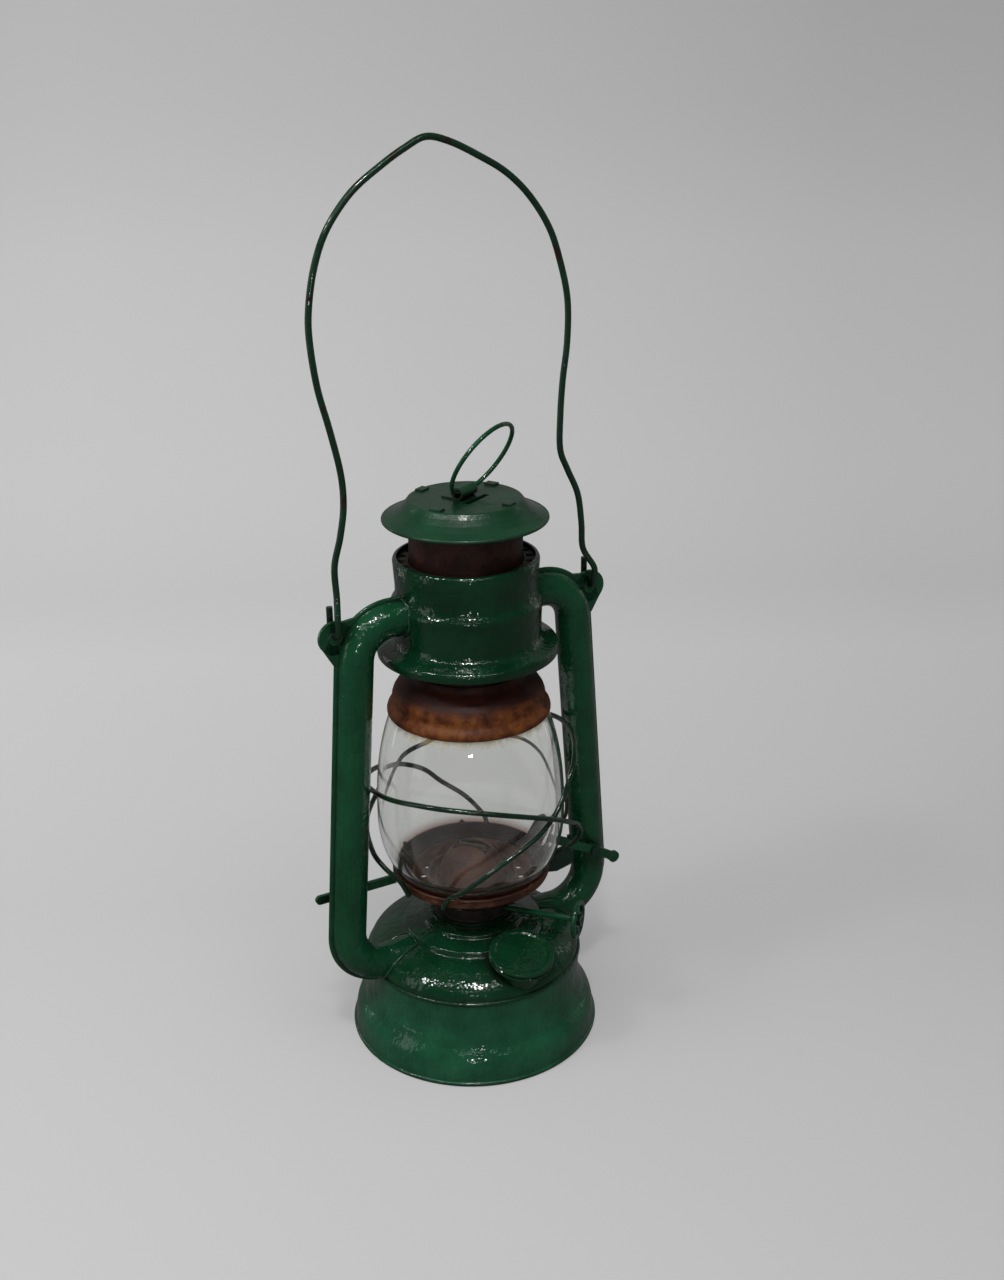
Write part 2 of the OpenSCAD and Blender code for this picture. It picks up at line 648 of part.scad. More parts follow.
// Tall rounded tongue that springs against the globe, bent from a strip that hugs the plate's rim
module globe_tongue() {
    w = 11.4;
    rim = plate_r;
    low = glass_at(14.6) + 2.4;
    high = glass_at(19.2) + 2;
    color(paint) translate([0, 0, plate_z]) intersection() {
        rotate([0, 0, -7]) rotate_extrude(angle = 20, $fn = 96) polygon([
            [rim + 0.15, 4.4], [rim + 0.95, 4.4], [rim + 0.95, plate_h - 2], [rim + 1.6, plate_h - 1],
            [rim + 1.7, plate_h + 0.2], [rim + 2.6, plate_h + 1.4], [low + 0.8, 14.5], [high + 0.8, 19.2],
            [high, 19.2], [low, 14.7], [rim + 1.9, plate_h + 1.8], [rim + 0.8, plate_h + 0.3],
            [rim + 0.8, plate_h - 1], [rim + 0.15, plate_h - 2]]);
        rotate([0, 0, 3]) rotate([90, 0, 90]) linear_extrude(60) {
            translate([-w / 2, 0]) square([w, 13.4]);
            translate([0, 13.4]) circle(w / 2, $fn = 48);
        }
    }
}

// Smooth path through hand-set points [azimuth, radius, height above the globe plate's seat]
function spot(p) = [p[1] * cos(p[0]), p[1] * sin(p[0]), plate_z + p[2] * guard_k];
function knot(p, i) = p[min(max(i, 0), len(p) - 1)];
function between(a, b, c, d, t) =
    0.5 * (2 * b + t * (c - a) + t * t * (2 * a - 5 * b + 4 * c - d) + t * t * t * (3 * b - a - 3 * c + d));
function smooth(p, n) = concat(
    [for (i = [0:len(p) - 2]) for (j = [0:n - 1])
        between(knot(p, i - 1), knot(p, i), knot(p, i + 1), knot(p, i + 2), j / n)],
    [p[len(p) - 1]]);
function unit(v) = v / norm(v);
function heading(p, i) = unit(knot(p, i + 1) - knot(p, i - 1));
// One side vector at each point, turned as little as possible from point to point
function sides(p) = let (h = [for (i = [0:len(p) - 1]) heading(p, i)])
    [for (i = 0, u = unit(cross(h[0], abs(h[0][2]) < 0.8 ? [0, 0, 1] : [1, 0, 0])); i < len(p);
        u = i + 1 < len(p) ? unit(u - (u * h[i + 1]) * h[i + 1]) : u, i = i + 1) u];

// A round wire of k sides along the points p
module wire(p, d, k = 8) {
    n = len(p);
    u = sides(p);
    pts = [for (i = [0:n - 1]) let (v = cross(u[i], heading(p, i)))
        for (j = [0:k - 1]) p[i] + d / 2 * (cos(j * 360 / k) * u[i] + sin(j * 360 / k) * v)];
    faces = concat(
        [[for (j = [0:k - 1]) j]],
        [for (i = [0:n - 2]) for (j = [0:k - 1])
            [i * k + j, (i + 1) * k + j, (i + 1) * k + (j + 1) % k, i * k + (j + 1) % k]],
        [[for (j = [k - 1:-1:0]) (n - 1) * k + j]]);
    polyhedron(points = pts, faces = faces, convexity = 8);
}

wire_gap = 2.8;
wire_r = globe_r + guard_wire_d / 2 + wire_gap;
wire_end = plate_r + guard_wire_d / 2;
// The two guards pass each other at three places, where one keeps outside the other
guard_a = [
    [50, wire_end + 0.4, 6], [54, plate_r + 4, 11], [66, wire_r - 0.6, 17.5], [81, wire_r - 1, 26.5],
    [94, wire_r - 1.2, 35.5], [115, wire_r - 1.2, 43.5], [140, wire_r, 48.5], [168, wire_r + 0.6, 52.5],
    [194, wire_r + 0.8, 55.5], [215, wire_r + 1, 57.5], [232, wire_r + 1.2, 57.5], [258, wire_r + 1.4, 54.5],
    [290, wire_r + 1.7, 45], [314, wire_r + 1.6, 34.5], [328, wire_r + 2.2, 29], [340, wire_r + 3, 24.5],
    [343.5, wire_r + 2.6, 19], [342.5, wire_r - 0.2, 13], [341, wire_r - 5.5, 8.5],
    [340.5, wire_end + 0.4, 5]];
guard_b = [
    [222, wire_end + 0.3, 5], [226, plate_r + 3.4, 11], [236, wire_r, 18.5], [247, wire_r, 25],
    [258, wire_r - 0.2, 30.5], [272, wire_r - 0.8, 35.5], [285, wire_r - 1.1, 39.5], [297, wire_r - 1, 44.5],
    [305, wire_r - 0.2, 50.5], [309, wire_r + 0.8, 57], [320, wire_r + 0.8, 63], [340, wire_r, 66.5],
    [2, wire_r - 0.6, 67], [30, wire_r - 0.6, 63], [60, wire_r + 0.2, 55], [88, wire_r + 1, 47],
    [108, wire_r + 1.5, 44], [128, wire_r + 1.9, 32], [150, wire_r + 1.4, 27.5], [172, wire_r + 0.6, 23],
    [184, wire_r - 1, 19], [190, plate_r + 4.6, 12.5], [192, wire_end + 0.3, 5]];

module guard_wire_a() {
    color(paint) wire(smooth([for (p = guard_a) spot(p)], 3), guard_wire_d);
}
module guard_wire_b() {
    color(paint) wire(smooth([for (p = guard_b) spot(p)], 3), guard_wire_d);
}
keeper = [
    [-13, globe_r + 0.6, 21.5], [-15, wire_r - 1.5, 25], [-13, wire_r - 0.8, 31.5], [-4, wire_r - 0.8, 37],
    [6, wire_r - 0.8, 43.5], [14, wire_r - 0.8, 47.5], [25, wire_r - 0.8, 49.8], [38, wire_r - 0.8, 49.6],
    [54, wire_r - 0.8, 49.2], [66, wire_r - 0.2, 50.2], [72, wire_r + 0.1, 49.5]];
module keeper_wire() {
    color("#26201a") wire(smooth([for (p = keeper) spot(p)], 3), keeper_wire_d);
}

// What the plate's rim fills, with a little air, so that its fittings stop at it
module rim_room() {
    translate([0, 0, plate_z]) revolved([
        [plate_r + 0.1, -5], [plate_r + 0.1, plate_h - 1.5], [plate_r + 0.6, plate_h - 1.2],
        [plate_r + 0.6, plate_h + 0.1], [plate_r + 0.1, plate_h + 0.4], [plate_r - 2, plate_h + 0.4]]);
}
// A strip that hugs the plate's rim from azimuth a0 to a1
module rim_strip(a0, a1) {
    translate([0, 0, plate_z]) rotate([0, 0, a0]) rotate_extrude(angle = a1 - a0, $fn = 96)
        translate([plate_r + 0.1, 4.8]) square([sheet, 2.6]);
}

strip_y = tube_r + 1.2;
guide_out = lever_x + (lever_thumb - 3) * cos(lever_slope + 4) + lever_w / 2 + 0.7;
module left_guide() {
    z = plate_z + 4.4;
    color(paint) difference() {
        union() {
            translate([-guide_out + lever_w / 2, strip_y, z - lever_w / 2])
                cube([guide_out - plate_r + 4, strip_t, lever_w]);
            translate([-guide_out + lever_w / 2, strip_y, z]) rotate([-90, 0, 0])
                cylinder(d = lever_w, h = strip_t);
        }
        rim_room();
    }
    color(paint) rim_strip(152, 166);
}

// Web riveted to the plate's rim, with the globe's prong and the tab that the lever pushes up
tab_arm = 13.5;
tab_x = lever_x - tab_arm;
tab_z = lever_z + tab_arm * tan(lever_slope) + lever_w / 2 / cos(lever_slope) + 0.25;
web_y = -tube_r - 1.5;
// Feet of the prong's two straight lengths, which lean just clear of the glass
prong_low = sqrt(pow(glass_at(13.8) + 0.7, 2) - web_y * web_y);
prong_top = sqrt(pow(glass_at(20) + 0.7, 2) - web_y * web_y);
module lift_bracket() {
    color("#26201a") {
        rim_strip(-34, -9);
        difference() {
            union() {
                translate([0, web_y + sheet, plate_z]) rotate([90, 0, 0]) linear_extrude(sheet) polygon([
                    [plate_r - 5.6, 4.9], [plate_r - 0.6, -2.6], [plate_r + 4.4, -3.6], [tab_x + 2.5, -1.8],
                    [tab_x + 3, 2], [tab_x + 1.4, 6.4], [tab_x + 1.2, tab_z + sheet],
                    [tab_x, tab_z + sheet], [tab_x - 0.5, 7.4],
                    [plate_r + 4.4, 6.4], [plate_r + 2, 8.4], [prong_low + 2, 13.5], [prong_top + 1.5, 19.5],
                    [prong_top, 20], [prong_low, 13.8], [plate_r - 0.1, plate_h + 0.6],
                    [plate_r - 5.6, plate_h + 0.2]]);
                // the tab folded forward over the lever
                translate([tab_x, lever_y - strip_t - 0.2, plate_z + tab_z])
                    cube([1.2, strip_t + 0.2 + web_y - lever_y + sheet, sheet]);
                // rivet through the web
                translate([plate_r + 2.6, web_y - 0.5, plate_z + 1.4]) rotate([-90, 0, 0])
                    cylinder(r = 1.4, h = 1.6);
            }
            rim_room();
        }
    }
}

// Flat lever on the stud of the right tube: its toe lifts the tab when its thumb end is pressed
lever_y = -tube_r - 1.8;
pivot_z = plate_z + lever_z;
module lift_lever() {
    color(paint) translate([lever_x, lever_y, pivot_z]) rotate([90, 0, 0])
        linear_extrude(strip_t) difference() {
        union() {
            rotate([0, 0, 180 - lever_slope]) translate([0, -lever_w / 2]) square([lever_toe, lever_w]);
            rotate([0, 0, 180 - lever_slope]) translate([lever_toe, 0]) circle(d = lever_w, $fn = 36);
            rotate([0, 0, -lever_slope - 4]) translate([0, -lever_w / 2]) square([lever_thumb - 3, lever_w]);
            rotate([0, 0, -lever_slope - 4]) translate([lever_thumb - 3, 0])
                circle(r = lever_w / 2 + 0.7, $fn = 36);
            circle(lever_w / 2 + 0.6, $fn = 36);
        }
        circle(stud_r + 0.06, $fn = 36);
    }
}
module lever_stud() {
    color(steel) difference() {
        translate([lever_x, 0, pivot_z]) rotate([90, 0, 0]) {
            cylinder(r = 2.6, h = -lever_y - 0.1);
            cylinder(r = stud_r, h = -lever_y + strip_t + 0.6);
            translate([0, 0, -lever_y + strip_t + 0.1]) cylinder(r = 2.4, h = 0.9);
        }
        tube_body(tube_r);
    }
}

module chimney() {
    color(soot) translate([0, 0, bell_z + bell_h - 2]) difference() {
        cylinder(r = chimney_r, h = top_z + 2 - bell_z - bell_h + 2, $fn = 96);
        translate([0, 0, -1]) cylinder(r = chimney_r - sheet, h = 200, $fn = 96);
    }
}

// Bell that sits on the globe's mouth and closes in on the chimney
function bell_line(d) = [
    for (p = [[0.2, 0, 0], [-0.1, 1.2, 0], [0.6, 3.4, 0], [2.2, 4.8, 0], [2.1, 7, 0], [2.5, 9, 0],
        [3.9, 11.6, 0], [6.7, 14.7, 0.4], [9.4, 16.2, 0.8]])
    [bell_r - p[0] * bell_k - d, bell_z + p[1] * bell_k - p[2] * d]];
module globe_bell() {
    collar = chimney_r + 0.05;
    color(rust) {
        shell(concat(bell_line(0),
                [[collar + sheet, bell_z + bell_h], [collar + sheet, bell_z + bell_h + 2.2]]),
            concat(bell_line(sheet), [[collar, bell_z + bell_h - sheet], [collar, bell_z + bell_h + 2.2]]));
        // inner ledge that rests on the glass
        translate([0, 0, globe_top_z + seat_gap]) difference() {
            cylinder(r = bell_r - 2.6, h = sheet, $fn = 96);
            translate([0, 0, -1]) cylinder(r = globe_top_r - glass_t - 2, h = 4, $fn = 96);
        }
    }
}

// Four tongues rise from a band in the chimney's mouth, through slots in the cap
tongue_w = 5;
tongue_r = chimney_r - sheet - 0.05;
module at_tongues() {
    for (a = [30:90:300]) rotate([0, 0, a]) children();
}
module chimney_cap() {
    // the brim is hollow towards its rim
    rise = top_h / 8;
    function line(d) = concat([for (p = [[0, 0.6], [1.4, 1.1], [3.8, 2.1], [6.4, 3.9], [8.5, 6]])
        [top_r - 0.6 - p[0] * (top_r - 0.6 - top_flat_r) / 10.1, top_z + p[1] * rise - d]],
        [[top_flat_r + 0.3 - d, flat_z - 0.3 - d], [top_flat_r - 0.3 - d * 0.6, flat_z - d]],
        [[0, flat_z - d]]);
    color(paint) difference() {
        union() {
            rotate_extrude($fn = 96) polygon(concat(line(0), back(line(sheet))));
            rotate_extrude($fn = 96) translate([top_r - 0.7, top_z]) circle(0.7, $fn = 20);
        }
        at_tongues() translate([tongue_r - sheet - 0.1, -tongue_w / 2 - 0.1, top_z])
            cube([sheet + 0.2, tongue_w + 0.2, 2 * top_h]);
        // pressed slot in the flat
        rotate([0, 0, ring_az]) translate([-7.5, -6.8, flat_z - 2]) cube([15, 2.4, 4]);
    }
}
module cap_tabs() {
    color(paint) {
        translate([0, 0, top_z - 6]) difference() {
            cylinder(r = tongue_r, h = 6, $fn = 96);
            translate([0, 0, -1]) cylinder(r = tongue_r - sheet, h = 9, $fn = 96);
        }
        at_tongues() {
            translate([tongue_r - sheet, -tongue_w / 2, top_z - 3])
                cube([sheet * 0.9, tongue_w, top_h + 3 + sheet]);
            translate([tongue_r - 3.6, -tongue_w / 2, flat_z + 0.02]) cube([3.5, tongue_w, sheet - 0.02]);
        }
    }
}

// Rolled loop on the cap, in which the lift ring turns
loop_r = 2.5;
loop_wall = 0.75;
loop_z = flat_z + loop_r + 0.02;
module ring_loop() {
    color(paint) rotate([0, 0, ring_az]) difference() {
        union() {
            translate([-loop_l / 2, 0, loop_z]) rotate([0, 90, 0]) cylinder(r = loop_r, h = loop_l, $fn = 36);
            translate([-loop_l / 2, 0, flat_z + 0.02]) cube([loop_l, 7.5, loop_wall]);
            translate([0, 5, flat_z + 0.1]) cylinder(r = 1.5, h = 1.5, $fn = 24);
        }
        translate([-20, 0, loop_z]) rotate([0, 90, 0]) cylinder(r = loop_r - loop_wall, h = 40, $fn = 36);
    }
}
module lift_ring() {
    sag = ring_r - sqrt(ring_r * ring_r - loop_l * loop_l / 4);
    color(paint) rotate([0, 0, ring_az]) translate([0, 0, loop_z]) rotate([-ring_lean, 0, 0])
        mirror([0, 1, 0]) translate([0, ring_r - sag / 2, 0])
        rotate_extrude($fn = 96) translate([ring_r, 0]) circle(d = ring_d, $fn = 24);
}

// The bail: each end is a hook round an ear, and hand-set points carry its bent arch from hook to hook
pivot_up = (ear_r + ear_hole_r) / 2 - 0.3;
hook_z = ear_z + pivot_up;
hook_in = seam_t / 2 + bail_d / 2 + 1.9;
// points of the arch for a half span of 58.5 and a rise of 180, as [x, height above the hooks]
arch = [
    [-57, 12], [-57, 24.5], [-54, 36], [-52, 48], [-52.5, 61], [-56, 78], [-60, 94.5], [-62, 112],
    [-61.5, 124], [-58.5, 138], [-53, 150.5], [-43, 162.5], [-31, 171], [-21.5, 176.5], [-13, 180],
    [-3.5, 178], [8.5, 172.5], [20, 166], [30, 157], [38.5, 145], [43.5, 132], [47, 117],
    [47, 100.5], [45, 85], [44, 71], [44, 57], [47.5, 48], [52.5, 37], [54.5, 24], [55, 13]];
span = ear_x / 58.5;
function hook(x, s) = [for (a = [0:20:180]) [x, hook_in * cos(a) * s, hook_z - hook_in * sin(a)]];
module bail() {
    line = concat(
        [[-ear_x, hook_in, hook_z + 7], [-ear_x, hook_in, hook_z + 4]],
        hook(-ear_x, 1),
        [[-ear_x, -hook_in, hook_z + 5]],
        [for (p = arch) [p[0] * span, p[1] < 15 ? -0.6 : 0, hook_z + p[1] * bail_k]],
        [[ear_x, -hook_in, hook_z + 5]],
        back(hook(ear_x, 1)),
        [[ear_x, hook_in, hook_z + 4], [ear_x, hook_in, hook_z + 7]]);
    color(paint) wire(smooth(line, 3), bail_d, 10);
}

base_skirt();
fount_dome();
fount_floor();
filler_neck();
fuel_cap();
cap_gasket();
burner_collar();
burner_body();
burner_dome();
wick_tube();
wick();
wick_shaft();
wick_knob();
left_tube();
right_tube();
hood_body();
hood_top_ring();
globe_plate();
globe();
globe_tongue();
guard_wire_a();
guard_wire_b();
keeper_wire();
lift_bracket();
left_guide();
lift_lever();
lever_stud();
chimney();
globe_bell();
chimney_cap();
cap_tabs();
ring_loop();
lift_ring();
bail();
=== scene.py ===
import math
import random

import bmesh
import bpy
from mathutils import Matrix, Vector


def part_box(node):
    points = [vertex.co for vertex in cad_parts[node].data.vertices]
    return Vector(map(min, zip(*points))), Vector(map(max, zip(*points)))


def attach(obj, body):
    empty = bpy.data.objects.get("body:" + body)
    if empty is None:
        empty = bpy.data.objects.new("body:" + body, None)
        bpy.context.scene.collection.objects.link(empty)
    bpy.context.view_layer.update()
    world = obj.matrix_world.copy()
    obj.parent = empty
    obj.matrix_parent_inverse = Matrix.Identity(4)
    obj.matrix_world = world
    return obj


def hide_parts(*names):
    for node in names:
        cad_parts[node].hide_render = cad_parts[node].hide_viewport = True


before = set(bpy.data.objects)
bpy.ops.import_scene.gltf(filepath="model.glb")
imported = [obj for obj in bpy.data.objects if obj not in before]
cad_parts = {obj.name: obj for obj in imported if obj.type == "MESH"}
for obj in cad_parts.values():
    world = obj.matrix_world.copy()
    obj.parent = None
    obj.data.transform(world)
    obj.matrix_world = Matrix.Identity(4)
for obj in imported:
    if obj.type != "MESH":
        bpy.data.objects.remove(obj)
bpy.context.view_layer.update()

# Sizes are in millimetres in the frame's own axes and become metres when a mesh is made.
MM = 0.001

# The camera looks along -27.5 degrees; the stage and the lights turn with it.
VIEW_TURN = math.radians(27.5)
TURN = Matrix.Rotation(-VIEW_TURN, 3, "Z")
PAPER_GLOW = (0.235, 0.145)

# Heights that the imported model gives
SKIRT_LOW, SKIRT_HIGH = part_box("base_skirt")
DOME_LOW, DOME_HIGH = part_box("fount_dome")
PLATE_LOW, PLATE_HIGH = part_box("globe_plate")
GLOBE_LOW, GLOBE_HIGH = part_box("globe")
BELL_LOW, BELL_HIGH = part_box("globe_bell")
HOOD_LOW, HOOD_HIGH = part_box("hood_body")
CAP_LOW, CAP_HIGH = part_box("chimney_cap")

SHEET = 0.8
LEDGE_Z = 36.0
NECK_Z = DOME_HIGH.z / MM
PLATE_Z = PLATE_LOW.z / MM
GLOBE_Z = GLOBE_LOW.z / MM
GLOBE_TOP_Z = GLOBE_HIGH.z / MM
BELL_Z = BELL_LOW.z / MM
HOOD_Z = HOOD_LOW.z / MM
HOOD_TOP_Z = HOOD_HIGH.z / MM
CAP_TOP_Z = CAP_HIGH.z / MM
CAP_RIM_Z = CAP_TOP_Z - 8.0


# Colour and node helpers

def linear(hex_colour):
    """An sRGB hex colour as the linear RGBA that Blender's sockets take."""
    parts = [int(hex_colour[i:i + 2], 16) / 255 for i in (1, 3, 5)]
    return [c / 12.92 if c <= 0.04045 else ((c + 0.055) / 1.055) ** 2.4 for c in parts] + [1.0]


def add(tree, kind, links=(), **settings):
    """Adds a node; settings name its properties or its inputs, and links are (input, output socket) pairs."""
    node = tree.nodes.new(kind)
    for name, value in settings.items():
        if hasattr(node, name):
            setattr(node, name, value)
        else:
            node.inputs[name.replace("_", " ")].default_value = value
    for name, socket in links:
        tree.links.new(node.inputs[name], socket)
    return node


def new_material(name):
    material = bpy.data.materials.new(name)
    material.use_nodes = True
    tree = material.node_tree
    tree.nodes.clear()
    output = tree.nodes.new("ShaderNodeOutputMaterial")
    shader = tree.nodes.new("ShaderNodeBsdfPrincipled")
    tree.links.new(output.inputs["Surface"], shader.outputs["BSDF"])
    return material, tree, shader


def per_mm(size):
    """Noise scale, in object coordinates of metres, whose features are about that many millimetres across."""
    return 1.0 / (size * MM)


def noise(tree, coords, size, detail=3.0, rough=0.5):
    return add(tree, "ShaderNodeTexNoise", [("Vector", coords)], Scale=per_mm(size), Detail=detail, Roughness=rough)


def ramp(tree, source, stops):
    """A colour ramp from (place, hex colour) stops."""
    node = add(tree, "ShaderNodeValToRGB", [("Fac", source)])
    while len(node.color_ramp.elements) < len(stops):
        node.color_ramp.elements.new(0.5)
    for element, (place, colour) in zip(node.color_ramp.elements, stops):
        element.position = place
        element.color = linear(colour)
    return node


def mixed(tree, factor, first, second):
    node = add(tree, "ShaderNodeMix", data_type="RGBA")
    tree.links.new(node.inputs["Factor"], factor)
    tree.links.new(node.inputs["A"], first)
    tree.links.new(node.inputs["B"], second)
    return node.outputs["Result"]


def bump(tree, shader, height, strength, distance):
    node = add(tree, "ShaderNodeBump", [("Height", height)], Strength=strength, Distance=distance * MM)
    tree.links.new(shader.inputs["Normal"], node.outputs["Normal"])
    return node


def stretched(tree, coords, across, along_z):
    """Object coordinates squeezed so that a pattern runs long across and short up, or the other way round."""
    node = add(tree, "ShaderNodeMapping", [("Vector", coords)])
    node.inputs["Scale"].default_value = (across, across, along_z)
    return node.outputs["Vector"]


def by_height(tree, coords, low, high):
    """0 at the height low, 1 at the height high, in millimetres."""
    parts = add(tree, "ShaderNodeSeparateXYZ", [("Vector", coords)])
    node = add(tree, "ShaderNodeMapRange", [("Value", parts.outputs["Z"])])
    node.inputs["From Min"].default_value = low * MM
    node.inputs["From Max"].default_value = high * MM
    return node.outputs["Result"]


def sum_of(tree, first, first_share, second, second_share):
    node = add(tree, "ShaderNodeMath", [(0, first)], operation="MULTIPLY")
    node.inputs[1].default_value = first_share
    total = add(tree, "ShaderNodeMath", [(0, second)], operation="MULTIPLY_ADD")
    total.inputs[1].default_value = second_share
    tree.links.new(total.inputs[2], node.outputs["Value"])
    return total.outputs["Value"]


def product(tree, first, second):
    node = add(tree, "ShaderNodeMath", [(0, first), (1, second)], operation="MULTIPLY")
    return node.outputs["Value"]


def crevice(tree, reach):
    """1 in the open, towards 0 in corners narrower than reach millimetres."""
    node = add(tree, "ShaderNodeAmbientOcclusion", samples=6, Distance=reach * MM)
    return node.outputs["AO"]


def is_mirrored(tree):
    """1 on rays that left a glossy surface, 0 on rays that came through glass."""
    rays = add(tree, "ShaderNodeLightPath")
    node = add(tree, "ShaderNodeMath", [(0, rays.outputs["Is Glossy Ray"]), (1, rays.outputs["Is Transmission Ray"])],
               operation="SUBTRACT")
    node.use_clamp = True
    return node.outputs["Value"]


# Materials

def green_enamel(name, deep, lit, worn=None, worn_share=0.0, lumps=1.0, satin=0.03, coat=0.9):
    """Gloss alkyd enamel brushed on by hand over old sheet: deep green, wet shine, runs and lumps of a few mm."""
    material, tree, shader = new_material(name)
    coords = add(tree, "ShaderNodeTexCoord").outputs["Object"]
    cloud = noise(tree, coords, 14, 4, 0.55)
    strokes = noise(tree, stretched(tree, coords, 1.0, 0.12), 1.1, 3, 0.6)
    tone = sum_of(tree, cloud.outputs["Fac"], 0.75, strokes.outputs["Fac"], 0.25)
    colour = ramp(tree, tone, [(0.28, deep), (0.72, lit)]).outputs["Color"]
    # painted shade together with dirt: a near-black colour laid into corners and crevices up to 9 mm across, as ambient
    # occlusion finds them, broken up by noise
    grime_and_shade_noise = noise(tree, coords, 2.5, 5, 0.65)
    corner_shade_and_mottle = sum_of(tree, crevice(tree, 9), 1.0, grime_and_shade_noise.outputs["Fac"], 0.25)
    shade = ramp(tree, corner_shade_and_mottle, [(0.55, "#ffffff"), (0.98, "#000000")])
    shade_and_dirt = ramp(tree, grime_and_shade_noise.outputs["Fac"], [(0.4, "#0a0d09"), (0.7, "#14150e")])
    colour = mixed(tree, shade.outputs["Color"], colour, shade_and_dirt.outputs["Color"])
    # painted shade: where the surface is seen at a slant, its colour is darkened towards a near-black green
    slant = add(tree, "ShaderNodeLayerWeight", Blend=0.5)
    edge_shade = ramp(tree, slant.outputs["Facing"], [(0.5, "#000000"), (0.97, "#d0d0d0")])
    edge_shade_colour = add(tree, "ShaderNodeRGB")
    edge_shade_colour.outputs["Color"].default_value = linear("#06120c")
    colour = mixed(tree, edge_shade.outputs["Color"], colour, edge_shade_colour.outputs["Color"])
    if worn:
        spots = noise(tree, coords, 9, 6, 0.65)
        mask = ramp(tree, spots.outputs["Fac"], [(0.62 - worn_share, "#000000"), (0.66 - worn_share, "#ffffff")])
        wear = noise(tree, coords, 3, 4, 0.6)
        under = ramp(tree, wear.outputs["Fac"], [(0.3, worn), (0.7, "#1a0f0a")])
        colour = mixed(tree, mask.outputs["Color"], colour, under.outputs["Color"])
    tree.links.new(shader.inputs["Base Color"], colour)
    smear = noise(tree, coords, 6, 4, 0.6)
    gloss = ramp(tree, smear.outputs["Fac"], [(0.35, "#5a5a5a"), (0.7, "#8e8e8e")])
    tree.links.new(shader.inputs["Roughness"], gloss.outputs["Color"])
    shader.inputs["Specular IOR Level"].default_value = 0.15
    shader.inputs["Coat Weight"].default_value = coat
    shader.inputs["Coat Roughness"].default_value = satin
    runs = noise(tree, coords, 6, 1, 0.5)
    lumpy = noise(tree, coords, 2.0, 1, 0.5)
    brushed = noise(tree, stretched(tree, coords, 1.0, 0.15), 1.0, 1, 0.5)
    relief = sum_of(tree, runs.outputs["Fac"], 2.0, lumpy.outputs["Fac"], 1.9)
    relief = sum_of(tree, relief, 1.0, brushed.outputs["Fac"], 0.35)
    surface = bump(tree, shader, relief, 0.6 * lumps, 0.25)
    tree.links.new(shader.inputs["Coat Normal"], surface.outputs["Normal"])
    return material


def rusty_sheet(name, dark, mid, bright, rough=0.55):
    """Tinned sheet that heat has browned and rusted: matt and mottled, with painted shade that darkens it in corners
    and leaves it lighter orange in the open.
    """
    material, tree, shader = new_material(name)
    coords = add(tree, "ShaderNodeTexCoord").outputs["Object"]
    cloud = noise(tree, coords, 8, 6, 0.62)
    fine = noise(tree, coords, 1.2, 4, 0.6)
    # painted shade: darker in corners that ambient occlusion finds, lighter orange in the open, mixed with mottle
    corner_shade_and_mottle = sum_of(tree, crevice(tree, 3), 0.5, cloud.outputs["Fac"], 1.0)
    broad = ramp(tree, corner_shade_and_mottle, [(0.7, dark), (1.0, mid), (1.22, bright)])
    speck = ramp(tree, fine.outputs["Fac"], [(0.35, dark), (0.65, mid)])
    blend = add(tree, "ShaderNodeMix", data_type="RGBA")
    blend.inputs["Factor"].default_value = 0.35
    tree.links.new(blend.inputs["A"], broad.outputs["Color"])
    tree.links.new(blend.inputs["B"], speck.outputs["Color"])
    tree.links.new(shader.inputs["Base Color"], blend.outputs["Result"])
    shader.inputs["Roughness"].default_value = rough
    shader.inputs["Specular IOR Level"].default_value = 0.35
    bump(tree, shader, fine.outputs["Fac"], 0.4, 0.12)
    return material


def metal(name, dark, light, rough):
    """Bare metal dulled by handling, with small dark stains."""
    material, tree, shader = new_material(name)
    coords = add(tree, "ShaderNodeTexCoord").outputs["Object"]
    cloud = noise(tree, coords, 3, 5, 0.6)
    colour = ramp(tree, cloud.outputs["Fac"], [(0.35, dark), (0.65, light)])
    tree.links.new(shader.inputs["Base Color"], colour.outputs["Color"])
    shader.inputs["Metallic"].default_value = 1.0
    shader.inputs["Roughness"].default_value = rough
    bump(tree, shader, cloud.outputs["Fac"], 0.2, 0.05)
    return material


def heat_browned_bell():
    """Pressed sheet flare over the flame: orange rust low down, darker towards its collar, where heat blackening and a
    painted shadow of the hood are laid together.
    """
    material, tree, shader = new_material("heat_browned_bell")
    coords = add(tree, "ShaderNodeTexCoord").outputs["Object"]
    cloud = noise(tree, coords, 7, 6, 0.65)
    streaks = noise(tree, stretched(tree, coords, 0.2, 1.0), 1.2, 4, 0.6)
    tone = sum_of(tree, cloud.outputs["Fac"], 0.85, streaks.outputs["Fac"], 0.15)
    rust = ramp(tree, tone, [(0.36, "#231009"), (0.47, "#4f2710"), (0.64, "#70411c")])
    burnt_and_shaded = ramp(tree, tone, [(0.35, "#1b0b07"), (0.65, "#3d1c12")])
    # painted shadow of the hood together with heat blackening: dark from 9 to 16 mm above the bell's foot upwards, with
    # a ragged edge
    uneven = sum_of(tree, by_height(tree, coords, BELL_Z + 9, BELL_Z + 16), 1.0, cloud.outputs["Fac"], 0.6)
    heat = ramp(tree, uneven, [(0.35, "#000000"), (0.75, "#ffffff")])
    colour = mixed(tree, heat.outputs["Color"], rust.outputs["Color"], burnt_and_shaded.outputs["Color"])
    tree.links.new(shader.inputs["Base Color"], colour)
    shader.inputs["Roughness"].default_value = 0.5
    shader.inputs["Specular IOR Level"].default_value = 0.2
    bump(tree, shader, tone, 0.35, 0.15)
    return material


